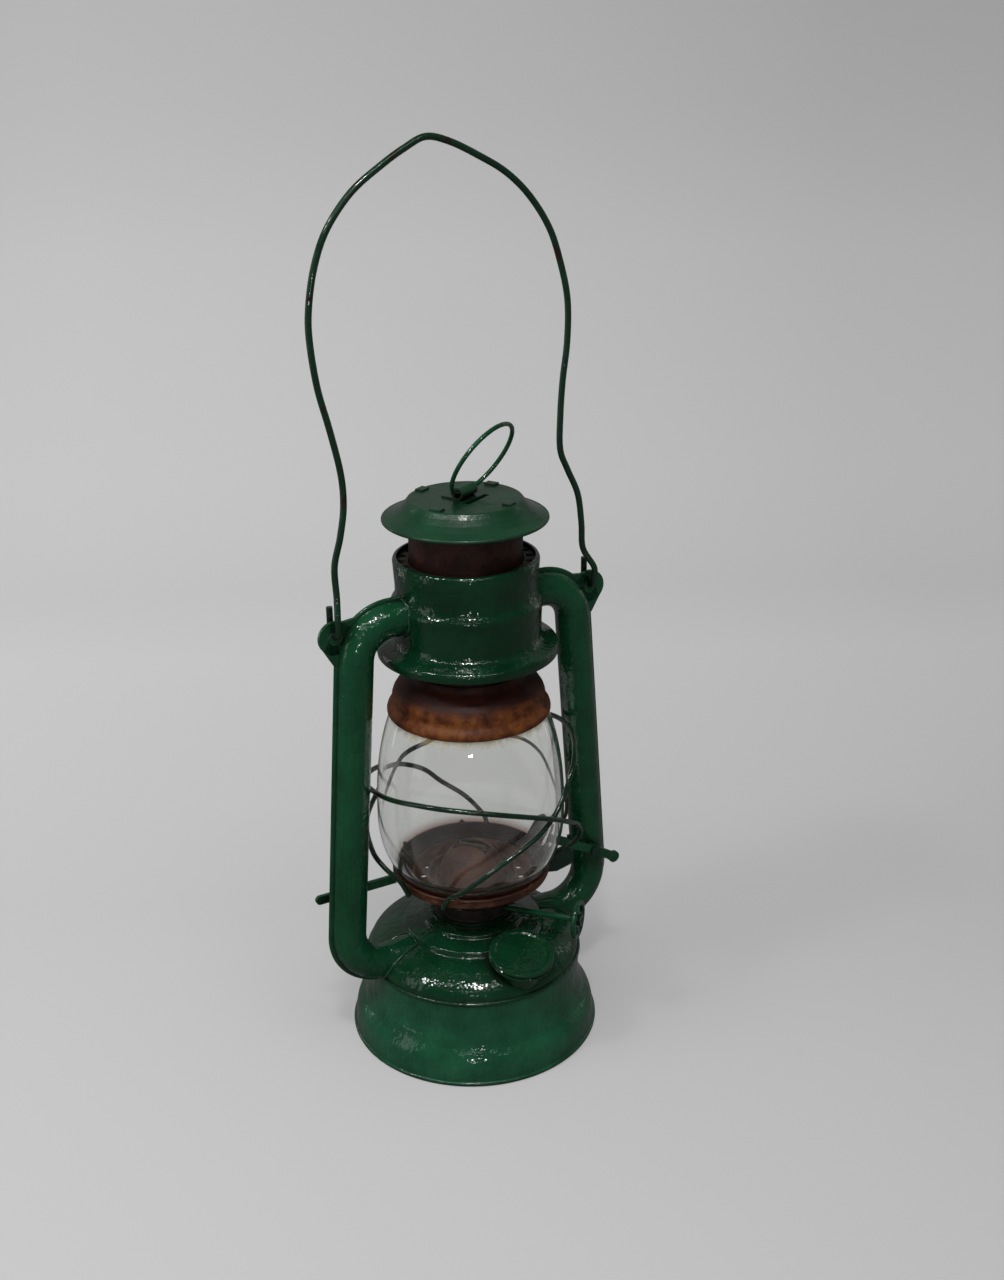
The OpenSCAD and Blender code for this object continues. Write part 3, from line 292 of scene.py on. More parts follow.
def globe_glass():
    """Blown soda glass: clear, with faint waves from the mould, dust, and a yellow-brown film under its mouth."""
    material, tree, shader = new_material("clear_soda_glass")
    shader.inputs["Roughness"].default_value = 0.0
    shader.inputs["IOR"].default_value = 1.47
    shader.inputs["Transmission Weight"].default_value = 1.0
    coords = add(tree, "ShaderNodeTexCoord").outputs["Object"]
    wave = noise(tree, stretched(tree, coords, 1.0, 0.4), 22, 2, 0.4)
    bump(tree, shader, wave.outputs["Fac"], 0.18, 0.6)
    # the glass turns brown towards its foot, where it sits in the plate
    foot = by_height(tree, coords, GLOBE_Z + 8, GLOBE_Z + 4)
    tint = ramp(tree, foot, [(0.0, "#f8f9f7"), (1.0, "#8a4c34")])
    tree.links.new(shader.inputs["Base Color"], tint.outputs["Color"])
    # the film: an opaque stain that thins out downwards in drips
    drips = noise(tree, stretched(tree, coords, 1.0, 0.5), 5, 5, 0.65)
    spread = sum_of(tree, by_height(tree, coords, BELL_Z - 6, BELL_Z + 3), 1.0, drips.outputs["Fac"], 0.8)
    stain_share = ramp(tree, spread, [(0.68, "#000000"), (1.0, "#b4b4b4")])
    # dust specks, plus a painted sheen that whitens the glass more where it is seen at a slant
    dust = noise(tree, coords, 0.7, 5, 0.7)
    slant = add(tree, "ShaderNodeLayerWeight", Blend=0.4)
    film = sum_of(tree, dust.outputs["Fac"], 1.0, slant.outputs["Facing"], 0.28)
    film = sum_of(tree, film, 1.0, foot, -0.4)
    dust_and_sheen_share = ramp(tree, film, [(0.54, "#050505"), (0.95, "#585858")])
    stain = add(tree, "ShaderNodeBsdfDiffuse", Color=linear("#b5a67e"))
    dust_and_sheen_coat = add(tree, "ShaderNodeBsdfDiffuse", Color=linear("#c9c8c2"))
    clear = add(tree, "ShaderNodeBsdfTransparent", Color=linear("#f3f4f2"))
    rays = add(tree, "ShaderNodeLightPath")
    soft = add(tree, "ShaderNodeMath", [(0, rays.outputs["Is Shadow Ray"]), (1, rays.outputs["Is Diffuse Ray"])],
               operation="MAXIMUM")
    glass = add(tree, "ShaderNodeMixShader", [(0, soft.outputs["Value"]), (1, shader.outputs["BSDF"]),
                                              (2, clear.outputs["BSDF"])])
    dusty = add(tree, "ShaderNodeMixShader", [(0, dust_and_sheen_share.outputs["Color"]), (1, glass.outputs["Shader"]),
                                              (2, dust_and_sheen_coat.outputs["BSDF"])])
    stained = add(tree, "ShaderNodeMixShader", [(0, stain_share.outputs["Color"]), (1, dusty.outputs["Shader"]),
                                                (2, stain.outputs["BSDF"])])
    tree.links.new(tree.nodes["Material Output"].inputs["Surface"], stained.outputs["Shader"])
    return material


def cotton_wick():
    """Flat woven cotton, dark brown and mottled."""
    material, tree, shader = new_material("flat_woven_cotton")
    coords = add(tree, "ShaderNodeTexCoord").outputs["Object"]
    weave = noise(tree, coords, 0.8, 2, 0.5)
    colour = ramp(tree, weave.outputs["Fac"], [(0.3, "#1c1712"), (0.7, "#4a4034")])
    tree.links.new(shader.inputs["Base Color"], colour.outputs["Color"])
    shader.inputs["Roughness"].default_value = 0.95
    bump(tree, shader, weave.outputs["Fac"], 0.5, 0.2)
    return material


def cork_gasket():
    material, tree, shader = new_material("pressed_cork")
    coords = add(tree, "ShaderNodeTexCoord").outputs["Object"]
    grain = noise(tree, coords, 1.0, 3, 0.6)
    colour = ramp(tree, grain.outputs["Fac"], [(0.3, "#2a211a"), (0.7, "#54412e")])
    tree.links.new(shader.inputs["Base Color"], colour.outputs["Color"])
    shader.inputs["Roughness"].default_value = 0.9
    return material


def pale_paper():
    """Matt grey paper backdrop, brighter on the left. In the gloss of the paint it is dim, as under a low lamp."""
    material, tree, shader = new_material("pale_paper")
    coords = add(tree, "ShaderNodeTexCoord").outputs["Object"]
    across = add(tree, "ShaderNodeVectorMath", [(0, coords)], operation="DOT_PRODUCT")
    across.inputs[1].default_value = TURN @ Vector((1, 0, 0))
    fall = add(tree, "ShaderNodeMapRange", [("Value", across.outputs["Value"])])
    fall.inputs["From Min"].default_value = -0.35
    fall.inputs["From Max"].default_value = 0.35
    fall.inputs["To Min"].default_value = PAPER_GLOW[0]
    fall.inputs["To Max"].default_value = PAPER_GLOW[1]
    # along the sheet from the lamp back and up the wall, 1.4 m: greyer at its two ends than half-way
    along = add(tree, "ShaderNodeVectorMath", [(0, coords)], operation="DOT_PRODUCT")
    along.inputs[1].default_value = TURN @ Vector((0, 1, 1)) / 1.4
    rise = ramp(tree, along.outputs["Value"], [(0.07, "#000000"), (0.3, "#575757"), (0.55, "#575757"),
                                               (0.78, "#4c4c4c"), (0.95, "#202020")])
    glow = add(tree, "ShaderNodeMath", [(0, fall.outputs["Result"]), (1, rise.outputs["Color"])], operation="ADD")
    shader.inputs["Base Color"].default_value = linear("#9a9a9a")
    shader.inputs["Roughness"].default_value = 1.0
    shader.inputs["Specular IOR Level"].default_value = 0.0
    shader.inputs["Emission Color"].default_value = linear("#ffffff")
    # the glow is only looked at: it lights nothing
    path = add(tree, "ShaderNodeLightPath").outputs
    looked_at = add(tree, "ShaderNodeMath", [(0, path["Is Camera Ray"]), (1, path["Is Transmission Ray"])],
                    operation="MAXIMUM")
    shown = add(tree, "ShaderNodeMath", [(0, glow.outputs["Value"]), (1, looked_at.outputs["Value"])],
                operation="MULTIPLY")
    tree.links.new(shader.inputs["Emission Strength"], shown.outputs["Value"])
    raised = add(tree, "ShaderNodeMapRange", [("Value", by_height(tree, coords, 20, 160))])
    raised.inputs["To Min"].default_value = 0.09
    raised.inputs["To Max"].default_value = 0.16
    dim = add(tree, "ShaderNodeEmission", [("Strength", raised.outputs["Result"])])
    pick = add(tree, "ShaderNodeMixShader", [(0, is_mirrored(tree)), (1, shader.outputs["BSDF"]),
                                             (2, dim.outputs["Emission"])])
    tree.links.new(tree.nodes["Material Output"].inputs["Surface"], pick.outputs["Shader"])
    return material


ENAMEL = green_enamel("brushed_green_enamel", "#062e19", "#12462a")
# painted shade and light: copies of the same enamel, darker on the hood and the fount and lighter on the base, for how
# the light falls on each
SHADED_HOOD_ENAMEL = green_enamel("green_enamel_on_hood", "#031f10", "#08301a")
SHADED_FOUNT_ENAMEL = green_enamel("green_enamel_on_fount", "#042413", "#0d371f")
LIT_BASE_ENAMEL = green_enamel("green_enamel_on_base_lightened_as_light", "#0e3824", "#1e5439")
BAIL_ENAMEL = green_enamel("worn_green_enamel_on_bail", "#0b2016", "#12301f", "#241812", 0.05, 0.5)
CAP_ENAMEL = green_enamel("weathered_green_enamel", "#072a17", "#103d24", lumps=0.5, satin=0.4, coat=0.7)
WIRE_ENAMEL = green_enamel("green_enamel_on_wire", "#081a10", "#10301f", "#24160f", 0.04, 0.5)
BELL_RUST = heat_browned_bell()
PLATE_RUST = rusty_sheet("rusted_plate_sheet", "#1c0b06", "#432113", "#5c3824", 0.5)
BURNER_RUST = rusty_sheet("browned_burner_sheet", "#1c0c07", "#43251a", "#553222", 0.6)
RING_SHEET = rusty_sheet("smoked_tinned_sheet", "#1d1b15", "#34322a", "#474538", 0.5)
# a darker copy of the green enamel, with a little wear
DARK_GREEN_ENAMEL = green_enamel("dark_green_enamel", "#081c13", "#123425", "#161411", 0.02, 0.7)
SOOT = rusty_sheet("sooted_chimney_sheet", "#160a08", "#2c130e", "#3e1c14", 0.5)
DARK_WIRE = rusty_sheet("blackened_sheet", "#0c0d0b", "#181712", "#2a1d14", 0.45)
STEEL = metal("dulled_steel", "#3a3632", "#8a857c", 0.38)
BRASS = metal("tarnished_brass", "#2c1f12", "#5e4526", 0.45)
GLASS = globe_glass()
COTTON = cotton_wick()
CORK = cork_gasket()


# Mesh helpers

def finish_mesh(bm, name, body, finish, nodes=(), sharp=38):
    """Turns a bmesh in millimetres into a smooth piece that rides on its body."""
    bmesh.ops.remove_doubles(bm, verts=bm.verts, dist=0.001)
    bmesh.ops.recalc_face_normals(bm, faces=bm.faces)
    bmesh.ops.transform(bm, matrix=Matrix.Scale(MM, 4), verts=bm.verts)
    mesh = bpy.data.meshes.new(name)
    bm.to_mesh(mesh)
    bm.free()
    mesh.shade_smooth()
    mesh.set_sharp_from_angle(angle=math.radians(sharp))
    mesh.materials.append(finish)
    piece = bpy.data.objects.new(name, mesh)
    bpy.context.scene.collection.objects.link(piece)
    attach(piece, body)
    if nodes:
        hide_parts(*nodes)
    return piece


def arc(cx, cz, r, a0, a1, steps=8):
    """Points of an arc from angle a0 to a1, in degrees."""
    angles = [math.radians(a0 + (a1 - a0) * i / steps) for i in range(steps + 1)]
    return [(cx + r * math.cos(a), cz + r * math.sin(a)) for a in angles]


def spin_outline(bm, outline, steps=128):
    """Spins an outline of (radius, height) points about Z. A closed loop leaves out its first point at the end."""
    verts = [bm.verts.new((r, 0, z)) for r, z in outline]
    edges = [bm.edges.new(pair) for pair in zip(verts, verts[1:])]
    if outline[0][0] > 0.001 or outline[-1][0] > 0.001:
        edges.append(bm.edges.new((verts[-1], verts[0])))
    bmesh.ops.spin(bm, geom=verts + edges, cent=(0, 0, 0), axis=(0, 0, 1), angle=math.tau, steps=steps, use_merge=True)


def lathe(name, outline, body, finish, nodes=(), sharp=38):
    bm = bmesh.new()
    spin_outline(bm, outline)
    return finish_mesh(bm, name, body, finish, nodes, sharp)


# Base and fount

def skirt():
    def side(d):
        flare = [(53.82, 2.7), (53.55, 4.6), (53.25, 7.0), (52.85, 9.2), (52.2, 11.2), (51.2, 12.9), (49.9, 14.6),
                 (48.9, 16)]
        turns = [math.radians(22.0 - 1.46 * i) for i in range(15)]
        cove = [(46.7 + 26 * (1 - math.cos(a)), LEDGE_Z - 8 - 26 * math.sin(a)) for a in turns]
        return [(r - d, z) for r, z in flare + cove + [(46.7, LEDGE_Z - 0.95)]]
    bead = arc(53.6, 0.95, 1.1, 70, -59, 11) + [(53.0, 0.02), (52.7, 0.25)] + arc(53.6, 0.95, 1.1, 210, 130, 4)
    outline = list(reversed(side(0))) + bead + side(SHEET)[1:]
    return lathe("skirt_sheet", outline, "lamp", LIT_BASE_ENAMEL, ["base_skirt"], 50)


def dome():
    def side(d):
        steps = [28 + (18.4 - d) * math.cos(math.radians(a)) for a in range(0, 79, 6)]
        rises = [LEDGE_Z + 0.9 + (10.9 - d) * math.sin(math.radians(a)) for a in range(0, 79, 6)]
        ledge = LEDGE_Z + 11.8
        return list(zip(steps, rises)) + [
            (30.9 - d, ledge - d), (30.3 - d, ledge + 0.5 - d), (30.2 - d, ledge + 1.6 - d), (30.0 - d, ledge + 2.5 - d),
            (29.3 - d, ledge + 2.9 - d), (23.2 - d, ledge + 4.2 - d), (22.6 - d, ledge + 4.7 - d),
            (22.4 - d, ledge + 5.6 - d), (21.9 - d, NECK_Z - 0.05 - d), (14.6, NECK_Z - 0.05 - d)]
    seam = [(45.2, LEDGE_Z - 0.9)] + arc(46.6, LEDGE_Z, 0.9, -85, 85, 8)
    inner = list(reversed(side(SHEET)))
    outline = seam + side(0) + inner
    return lathe("fount_sheet", outline, "lamp", SHADED_FOUNT_ENAMEL, ["fount_dome"], 50)


# Side tubes

TUBE_R = 7.5
SEAM_W = 1.7
SEAM_T = 1.6
TOP_X, FOOT_X = 50.4, 59.6
TOP_R, LOW_R = 15.5, 17.8
LEG_TOP_Z = HOOD_Z + 19.8
LEG_LOW_Z = LEDGE_Z + 5.6
LOW_TILT = math.radians(3)
RUN_H = LEG_TOP_Z - TOP_R - LEG_LOW_Z - LOW_R
SPLAY = math.atan((FOOT_X - TOP_X) / RUN_H)
TOP_C = Vector((TOP_X - TOP_R * math.cos(SPLAY), 0, LEG_TOP_Z - TOP_R))
TOP_END = TOP_C + TOP_R * Vector((math.cos(SPLAY), 0, math.sin(SPLAY)))
LOW_CZ = LEG_LOW_Z + LOW_R * math.cos(LOW_TILT)
RUN_L = (TOP_END.z - LOW_CZ - LOW_R * math.sin(SPLAY)) / math.cos(SPLAY)
LOW_START = TOP_END + RUN_L * Vector((math.sin(SPLAY), 0, -math.cos(SPLAY)))
LOW_C = LOW_START - LOW_R * Vector((math.cos(SPLAY), 0, math.sin(SPLAY)))
EAR_X = 58.5
EAR_Z = LEG_TOP_Z - 3.2
EAR_R = 7.0


def tube_section(out, y):
    """Start point of a section whose outer side faces up, at the hood's wall."""
    return Vector((28.2, y, LEG_TOP_Z + out))


def side_tube(name, side, nodes):
    bm = bmesh.new()
    half = math.degrees(math.asin(SEAM_T / 2 / TUBE_R))
    ring = [(TUBE_R * math.cos(math.radians(a)), TUBE_R * math.sin(math.radians(a)))
            for a in [half + (360 - 2 * half) * i / 44 for i in range(45)]]
    ring = ring[:1] + ring[1:]
    fin = TUBE_R + SEAM_W - SEAM_T / 2
    ring += [(fin + SEAM_T / 2 * math.cos(math.radians(a)), SEAM_T / 2 * math.sin(math.radians(a)))
             for a in (-85, -50, 0, 50, 85)]
    verts = [bm.verts.new(tube_section(o, y)) for o, y in ring]
    edges = [bm.edges.new((verts[i], verts[(i + 1) % len(verts)])) for i in range(len(verts))]
    geom = verts + edges

    def straight(geom, step, count):
        for _ in range(count):
            made = bmesh.ops.extrude_edge_only(bm, edges=[g for g in geom if isinstance(g, bmesh.types.BMEdge)])["geom"]
            fresh = [g for g in made if isinstance(g, bmesh.types.BMVert)]
            bmesh.ops.translate(bm, vec=step, verts=fresh)
            geom = fresh + [g for g in made if isinstance(g, bmesh.types.BMEdge) and all(v in fresh for v in g.verts)]
        return geom

    geom = straight(geom, Vector((TOP_C.x - 28.2, 0, 0)), 1)
    geom = bmesh.ops.spin(bm, geom=geom, cent=TOP_C, axis=(0, 1, 0), angle=math.pi / 2 - SPLAY, steps=20)["geom_last"]
    geom = straight(geom, Vector((math.sin(SPLAY), 0, -math.cos(SPLAY))) * RUN_L / 24, 24)
    geom = bmesh.ops.spin(bm, geom=geom, cent=LOW_C, axis=(0, 1, 0), angle=SPLAY + math.pi / 2 + LOW_TILT,
                          steps=22)["geom_last"]
    straight(geom, Vector((-math.cos(LOW_TILT), 0, math.sin(LOW_TILT))) * 10.5, 1)

    # ear: a ring round the hole, and the web that joins it to the seam
    def disc(radius, count):
        return bmesh.ops.create_circle(bm, cap_ends=False, radius=radius, segments=count)["verts"]
    outer, hole = disc(EAR_R, 56), disc(3.0, 56)
    loop = {e for v in outer + hole for e in v.link_edges}
    faces = bmesh.ops.bridge_loops(bm, edges=list(loop))["faces"]
    web = [(-8.5, 6.8), (-3.2, 6.2), (0.5, 3), (2.6, 0), (5, -5), (1.2, -11.5), (-3, -13)]
    web_verts = [bm.verts.new((x, z, 0)) for x, z in web]
    faces.append(bm.faces.new(web_verts))
    flat = list({v for f in faces for v in f.verts})
    bmesh.ops.rotate(bm, verts=flat, cent=(0, 0, 0), matrix=Matrix.Rotation(math.pi / 2, 3, "X"))
    bmesh.ops.translate(bm, verts=flat, vec=(EAR_X, -SEAM_T / 2, EAR_Z))
    grown = bmesh.ops.extrude_face_region(bm, geom=faces)["geom"]
    bmesh.ops.translate(bm, verts=[g for g in grown if isinstance(g, bmesh.types.BMVert)], vec=(0, SEAM_T, 0))
    if side < 0:
        bmesh.ops.scale(bm, vec=(-1, 1, 1), verts=bm.verts)
    return finish_mesh(bm, name, "lamp", ENAMEL, nodes, 50)


def solder_bead(name, side, centre_z, reach, radius_at):
    """A lumpy bead of solder and paint round the line where a side tube enters a round wall."""
    curve_points = []
    rng = random.Random(name)
    for i in range(49):
        a = math.tau * i / 48
        y, z = reach * math.sin(a), centre_z + reach * math.cos(a)
        wall = radius_at(z)
        if abs(y) < wall:
            curve_points.append((Vector((side * math.sqrt(wall * wall - y * y), y, z)), rng.uniform(0.8, 1.25)))
    curve = bpy.data.curves.new(name, "CURVE")
    curve.dimensions = "3D"
    curve.bevel_depth = 0.75 * MM
    curve.bevel_resolution = 4
    line = curve.splines.new("POLY")
    line.points.add(len(curve_points) - 1)
    for point, (place, thick) in zip(line.points, curve_points):
        point.co = (*(place * MM), 1)
        point.radius = thick
    line.use_smooth = True
    line.use_cyclic_u = True
    curve.materials.append(ENAMEL)
    piece = bpy.data.objects.new(name, curve)
    bpy.context.scene.collection.objects.link(piece)
    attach(piece, "lamp")


def solder_beads():
    def hood_wall(z):
        return 30.5 if z < HOOD_Z + 19 else 29.4 if z > HOOD_Z + 25 else 31.2 - 0.29 * (z - HOOD_Z - 19)

    def fount_wall(z):
        if z < LEDGE_Z + 0.9:
            return 46.9
        if z > LEDGE_Z + 11.7:
            return 30.4
        return 28.1 + 18.4 * math.sqrt(1 - ((z - LEDGE_Z - 0.9) / 10.9) ** 2)
    for name, side in (("right", 1), ("left", -1)):
        solder_bead(name + "_hood_solder", side, LEG_TOP_Z, TUBE_R + 0.15, hood_wall)
        solder_bead(name + "_fount_solder", side, LEG_LOW_Z + 0.6, TUBE_R + 0.1, fount_wall)


# Hood and chimney

def hood():
    def side(d):
        barrel = [(30.5, 16), (30.7, 19), (30.815, 20.2), (31.1, 21.4), (31.005, 22.5), (30.53, 23.4), (29.77, 24.3),
                  (29.2, 25.4), (29.1, 29), (29.5, 35), (29.8, 39.8), (29.4, 40.7), (28.9, 41)]
        return ([(37.2 - d, HOOD_Z)] + arc(35.3, HOOD_Z + 2.2, 2.2 - d, 0, 75, 6)
                + arc(34.2, HOOD_Z + 8.8, 3.8 + d, 262, 180, 8) + [(r - d, HOOD_Z + z) for r, z in barrel])
    return lathe("hood_sheet", side(0) + list(reversed(side(SHEET))), "lamp", SHADED_HOOD_ENAMEL, ["hood_body"], 50)


def bell():
    def side(d):
        return [(33.9 - d, BELL_Z), (34.2 - d, BELL_Z + 0.7), (34.2 - d, BELL_Z + 1.6), (33.9 - d, BELL_Z + 2.6),
                (33.2 - d, BELL_Z + 3.6), (32.3 - d, BELL_Z + 4.5), (31.9 - d, BELL_Z + 5.4), (32.0 - d, BELL_Z + 6.6),
                (31.9 - d, BELL_Z + 8.0), (31.4 - d, BELL_Z + 9.6), (30.2 - d, BELL_Z + 11.6), (28.3 - d, BELL_Z + 13.6),
                (26.2 - d, BELL_Z + 15.2 - d / 2), (24.6 - d / 2, BELL_Z + 16.3 - d / 2), (24.0, BELL_Z + 17.2)]
    collar = [(23.9, BELL_Z + 19.2), (23.05, BELL_Z + 19.2)]
    return lathe("bell_sheet", side(0)[:-1] + [(23.95, BELL_Z + 17.4)] + collar + list(reversed(side(SHEET)[:-1])),
                 "chimney", BELL_RUST, ["globe_bell"], 50)


def cap_hem():
    """The rolled edge of the chimney cap."""
    rim_low, rim_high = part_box("chimney_cap")
    radius = rim_high.x / MM - 0.75
    hem = arc(radius, rim_low.z / MM + 0.65, 0.85, 0, 345, 23)
    lathe("cap_rolled_hem", hem, "chimney", CAP_ENAMEL)


def chimney_tube():
    low, high = (c.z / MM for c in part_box("chimney"))
    return lathe("chimney_sheet", [(22.2, low), (23.0, low), (23.0, high), (22.2, high)], "chimney",
                 SOOT, ["chimney"], 50)


# Globe

def glass_globe():
    def radius(u):
        if u < 0.38:
            return 29.6 + 10.5 * (1 - (1 - u / 0.38) ** 2.6)
        return 29.4 + 10.7 * math.cos(math.pi / 2 * ((u - 0.38) / 0.62) ** 1.15) ** 0.7
    height = GLOBE_TOP_Z - GLOBE_Z
    places = [i / 48 for i in range(49)]
    outer = [(max(radius(u), 29.4), GLOBE_Z + height * u) for u in places]
    inner = [(r - 1.7 - 1.6 * max(0, 1 - (z - GLOBE_Z) / 9) ** 0.5, z) for r, z in outer]
    return lathe("glass_globe", outer + list(reversed(inner)), "globe_carrier", GLASS, ["globe"], 60)


# Wires

def spot(azimuth, radius, height):
    a = math.radians(azimuth)
    return Vector((radius * math.cos(a), radius * math.sin(a), height))


def smooth_route(points, steps):
    """A Catmull-Rom curve through points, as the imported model's wires have."""
    def knot(i):
        return points[min(max(i, 0), len(points) - 1)]
    route = []
    for i in range(len(points) - 1):
        a, b, c, d = knot(i - 1), knot(i), knot(i + 1), knot(i + 2)
        for j in range(steps):
            t = j / steps
            route.append(0.5 * (2 * b + t * (c - a) + t * t * (2 * a - 5 * b + 4 * c - d)
                                + t ** 3 * (3 * b - a - 3 * c + d)))
    route.append(points[-1])
    return route


def wire(name, points, diameter, body, finish, nodes, steps=6):
    curve = bpy.data.curves.new(name, "CURVE")
    curve.dimensions = "3D"
    curve.bevel_depth = diameter / 2 * MM
    curve.bevel_resolution = 5
    curve.use_fill_caps = True
    curve.twist_mode = "MINIMUM"
    line = curve.splines.new("POLY")
    route = smooth_route(points, steps)
    line.points.add(len(route) - 1)
    for point, place in zip(line.points, route):
        point.co = (*(place * MM), 1)
    line.use_smooth = True
    curve.materials.append(finish)
    piece = bpy.data.objects.new(name, curve)
    bpy.context.scene.collection.objects.link(piece)
    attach(piece, body)
    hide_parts(*nodes)
    return piece


WIRE_R = 40.1 + 1.1 + 2.8
PLATE_R = 33.62
END_R = PLATE_R + 1.1
GUARD_A = [
    (50, END_R + 0.4, 6), (54, PLATE_R + 4, 11), (66, WIRE_R - 0.6, 17.5), (81, WIRE_R - 1, 26.5),
    (94, WIRE_R - 1.2, 35.5), (115, WIRE_R - 1.2, 43.5), (140, WIRE_R, 48.5), (168, WIRE_R + 0.6, 52.5),
    (194, WIRE_R + 0.8, 55.5), (215, WIRE_R + 1, 57.5), (232, WIRE_R + 1.2, 57.5), (258, WIRE_R + 1.4, 54.5),
    (290, WIRE_R + 1.7, 45), (312, WIRE_R + 1.4, 35), (324, WIRE_R + 1.4, 29.8), (330, WIRE_R + 2.6, 25.4),
    (333, WIRE_R + 3.4, 21.3), (334.5, WIRE_R + 1.6, 16.6), (335.5, WIRE_R - 2.8, 13), (337.5, WIRE_R - 6.8, 10),
    (340.5, END_R + 0.4, 5)]
GUARD_B = [
    (222, END_R + 0.3, 5), (226, PLATE_R + 3.4, 11), (236, WIRE_R, 18.5), (247, WIRE_R, 25),
    (258, WIRE_R - 0.2, 30.5), (272, WIRE_R - 0.8, 35.5), (285, WIRE_R - 1.1, 39.5), (297, WIRE_R - 1, 44.5),
    (305, WIRE_R - 0.2, 50.5), (309, WIRE_R + 0.8, 57), (320, WIRE_R + 0.8, 63), (340, WIRE_R, 66.5),
    (2, WIRE_R - 0.6, 67), (30, WIRE_R - 0.6, 63), (60, WIRE_R + 0.2, 55), (88, WIRE_R + 1, 47),
    (108, WIRE_R + 1.5, 44), (128, WIRE_R + 1.9, 32), (150, WIRE_R + 1.4, 27.5), (172, WIRE_R + 0.6, 23),
    (184, WIRE_R - 1, 19), (190, PLATE_R + 4.6, 12.5), (192, END_R + 0.3, 5)]
KEEPER = [
    (-13, 40.7, 21.5), (-15, WIRE_R - 1.5, 25), (-13, WIRE_R - 0.8, 31.5), (-4, WIRE_R - 0.8, 37),
    (6, WIRE_R - 0.8, 43.5), (14, WIRE_R - 0.8, 47.5), (25, WIRE_R - 0.8, 49.8), (38, WIRE_R - 0.8, 49.6),
    (54, WIRE_R - 0.8, 49.2), (66, WIRE_R - 0.2, 50.2), (72, WIRE_R + 0.1, 49.5)]


def guard_wires():
    for name, route, diameter, finish, slot in (
            ("guard_wire_a", GUARD_A, 2.2, WIRE_ENAMEL, "green_enamel"),
            ("guard_wire_b", GUARD_B, 2.2, WIRE_ENAMEL, "green_enamel"),
            ("keeper_wire", KEEPER, 1.6, DARK_WIRE, "sooty_sheet")):
        points = [spot(a, r, PLATE_Z + h) for a, r, h in route]
        wire(name + "_rod", points, diameter, "globe_carrier", finish, [name])


HOOK_IN = 4.0
HOOK_Z = EAR_Z + 4.7
ARCH = [
    (-57, 12), (-57, 24.5), (-54, 36), (-52, 48), (-52.5, 61), (-56, 78), (-60, 94.5), (-62, 112), (-61.5, 124),
    (-58.5, 138), (-53, 150.5), (-43, 162.5), (-31, 171), (-21.5, 176.5), (-13, 180), (-3.5, 178), (8.5, 172.5),
    (20, 166), (30, 157), (38.5, 145), (43.5, 132), (47, 117), (47, 100.5), (45, 85), (44, 71), (44, 57), (47.5, 48),
    (52.5, 37), (54.5, 24), (55, 13)]


def bail_wire():
    def hook(x):
        return [Vector((x, HOOK_IN * math.cos(math.radians(a)), HOOK_Z - HOOK_IN * math.sin(math.radians(a))))
                for a in range(0, 181, 20)]
    left = [Vector((-EAR_X, HOOK_IN, HOOK_Z + 7)), Vector((-EAR_X, HOOK_IN, HOOK_Z + 4))] + hook(-EAR_X)
    left.append(Vector((-EAR_X, -HOOK_IN, HOOK_Z + 5)))
    right = [Vector((-p.x, p.y, p.z)) for p in reversed(left)]
    arch = [Vector((x, -0.6 if z < 15 else 0, HOOK_Z + z)) for x, z in ARCH]
    wire("bail_rod", left + arch + right, 2.6, "bail", BAIL_ENAMEL, ["bail"])


skirt()
dome()
side_tube("right_tube_sheet", 1, ["right_tube"])
side_tube("left_tube_sheet", -1, ["left_tube"])
solder_beads()
hood()
bell()
cap_hem()
chimney_tube()
glass_globe()
guard_wires()
bail_wire()

# Finishes of the nodes that stay
FINISHES = {
    SHADED_FOUNT_ENAMEL: ["filler_neck", "fuel_cap", "burner_collar"],
    RING_SHEET: ["hood_top_ring"],
    ENAMEL: ["wick_knob", "left_guide", "lift_lever",
             "lift_ring", "wick_shaft"],
    CAP_ENAMEL: ["chimney_cap", "cap_tabs", "ring_loop"],
    DARK_WIRE: ["burner_body", "globe_tongue"],
    DARK_GREEN_ENAMEL: ["lift_bracket", "lever_stud"],
    PLATE_RUST: ["globe_plate"],
    BURNER_RUST: ["burner_dome", "wick_tube"],
    SOOT: ["fount_floor"],
    COTTON: ["wick"],
    CORK: ["cap_gasket"],
}
for finish, names in FINISHES.items():
    for name in names:
        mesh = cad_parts[name].data
        mesh.materials.clear()
        mesh.materials.append(finish)


# Floor, lights and camera

def stage():
    """A pale paper sweep: floor, a quarter turn, and a wall, wide enough for every side view."""
    bm = bmesh.new()
    outline = [(-2.5, 0.0)] + [(x, z) for x, z in arc(0.55, 0.35, 0.35, 270, 360, 16)] + [(0.9, 1.6)]
    verts = [bm.verts.new((-6, y, z)) for y, z in outline]
    edges = [bm.edges.new(pair) for pair in zip(verts, verts[1:])]
    made = bmesh.ops.extrude_edge_only(bm, edges=edges)["geom"]
    bmesh.ops.translate(bm, vec=(12, 0, 0), verts=[g for g in made if isinstance(g, bmesh.types.BMVert)])
    bmesh.ops.rotate(bm, verts=bm.verts, cent=(0, 0, 0), matrix=Matrix.Rotation(-VIEW_TURN, 3, "Z"))
    bmesh.ops.recalc_face_normals(bm, faces=bm.faces)
    mesh = bpy.data.meshes.new("paper_sweep")
    bm.to_mesh(mesh)
    bm.free()
    mesh.shade_smooth()
    mesh.materials.append(pale_paper())
    sweep = bpy.data.objects.new("paper_sweep", mesh)
    bpy.context.scene.collection.objects.link(sweep)


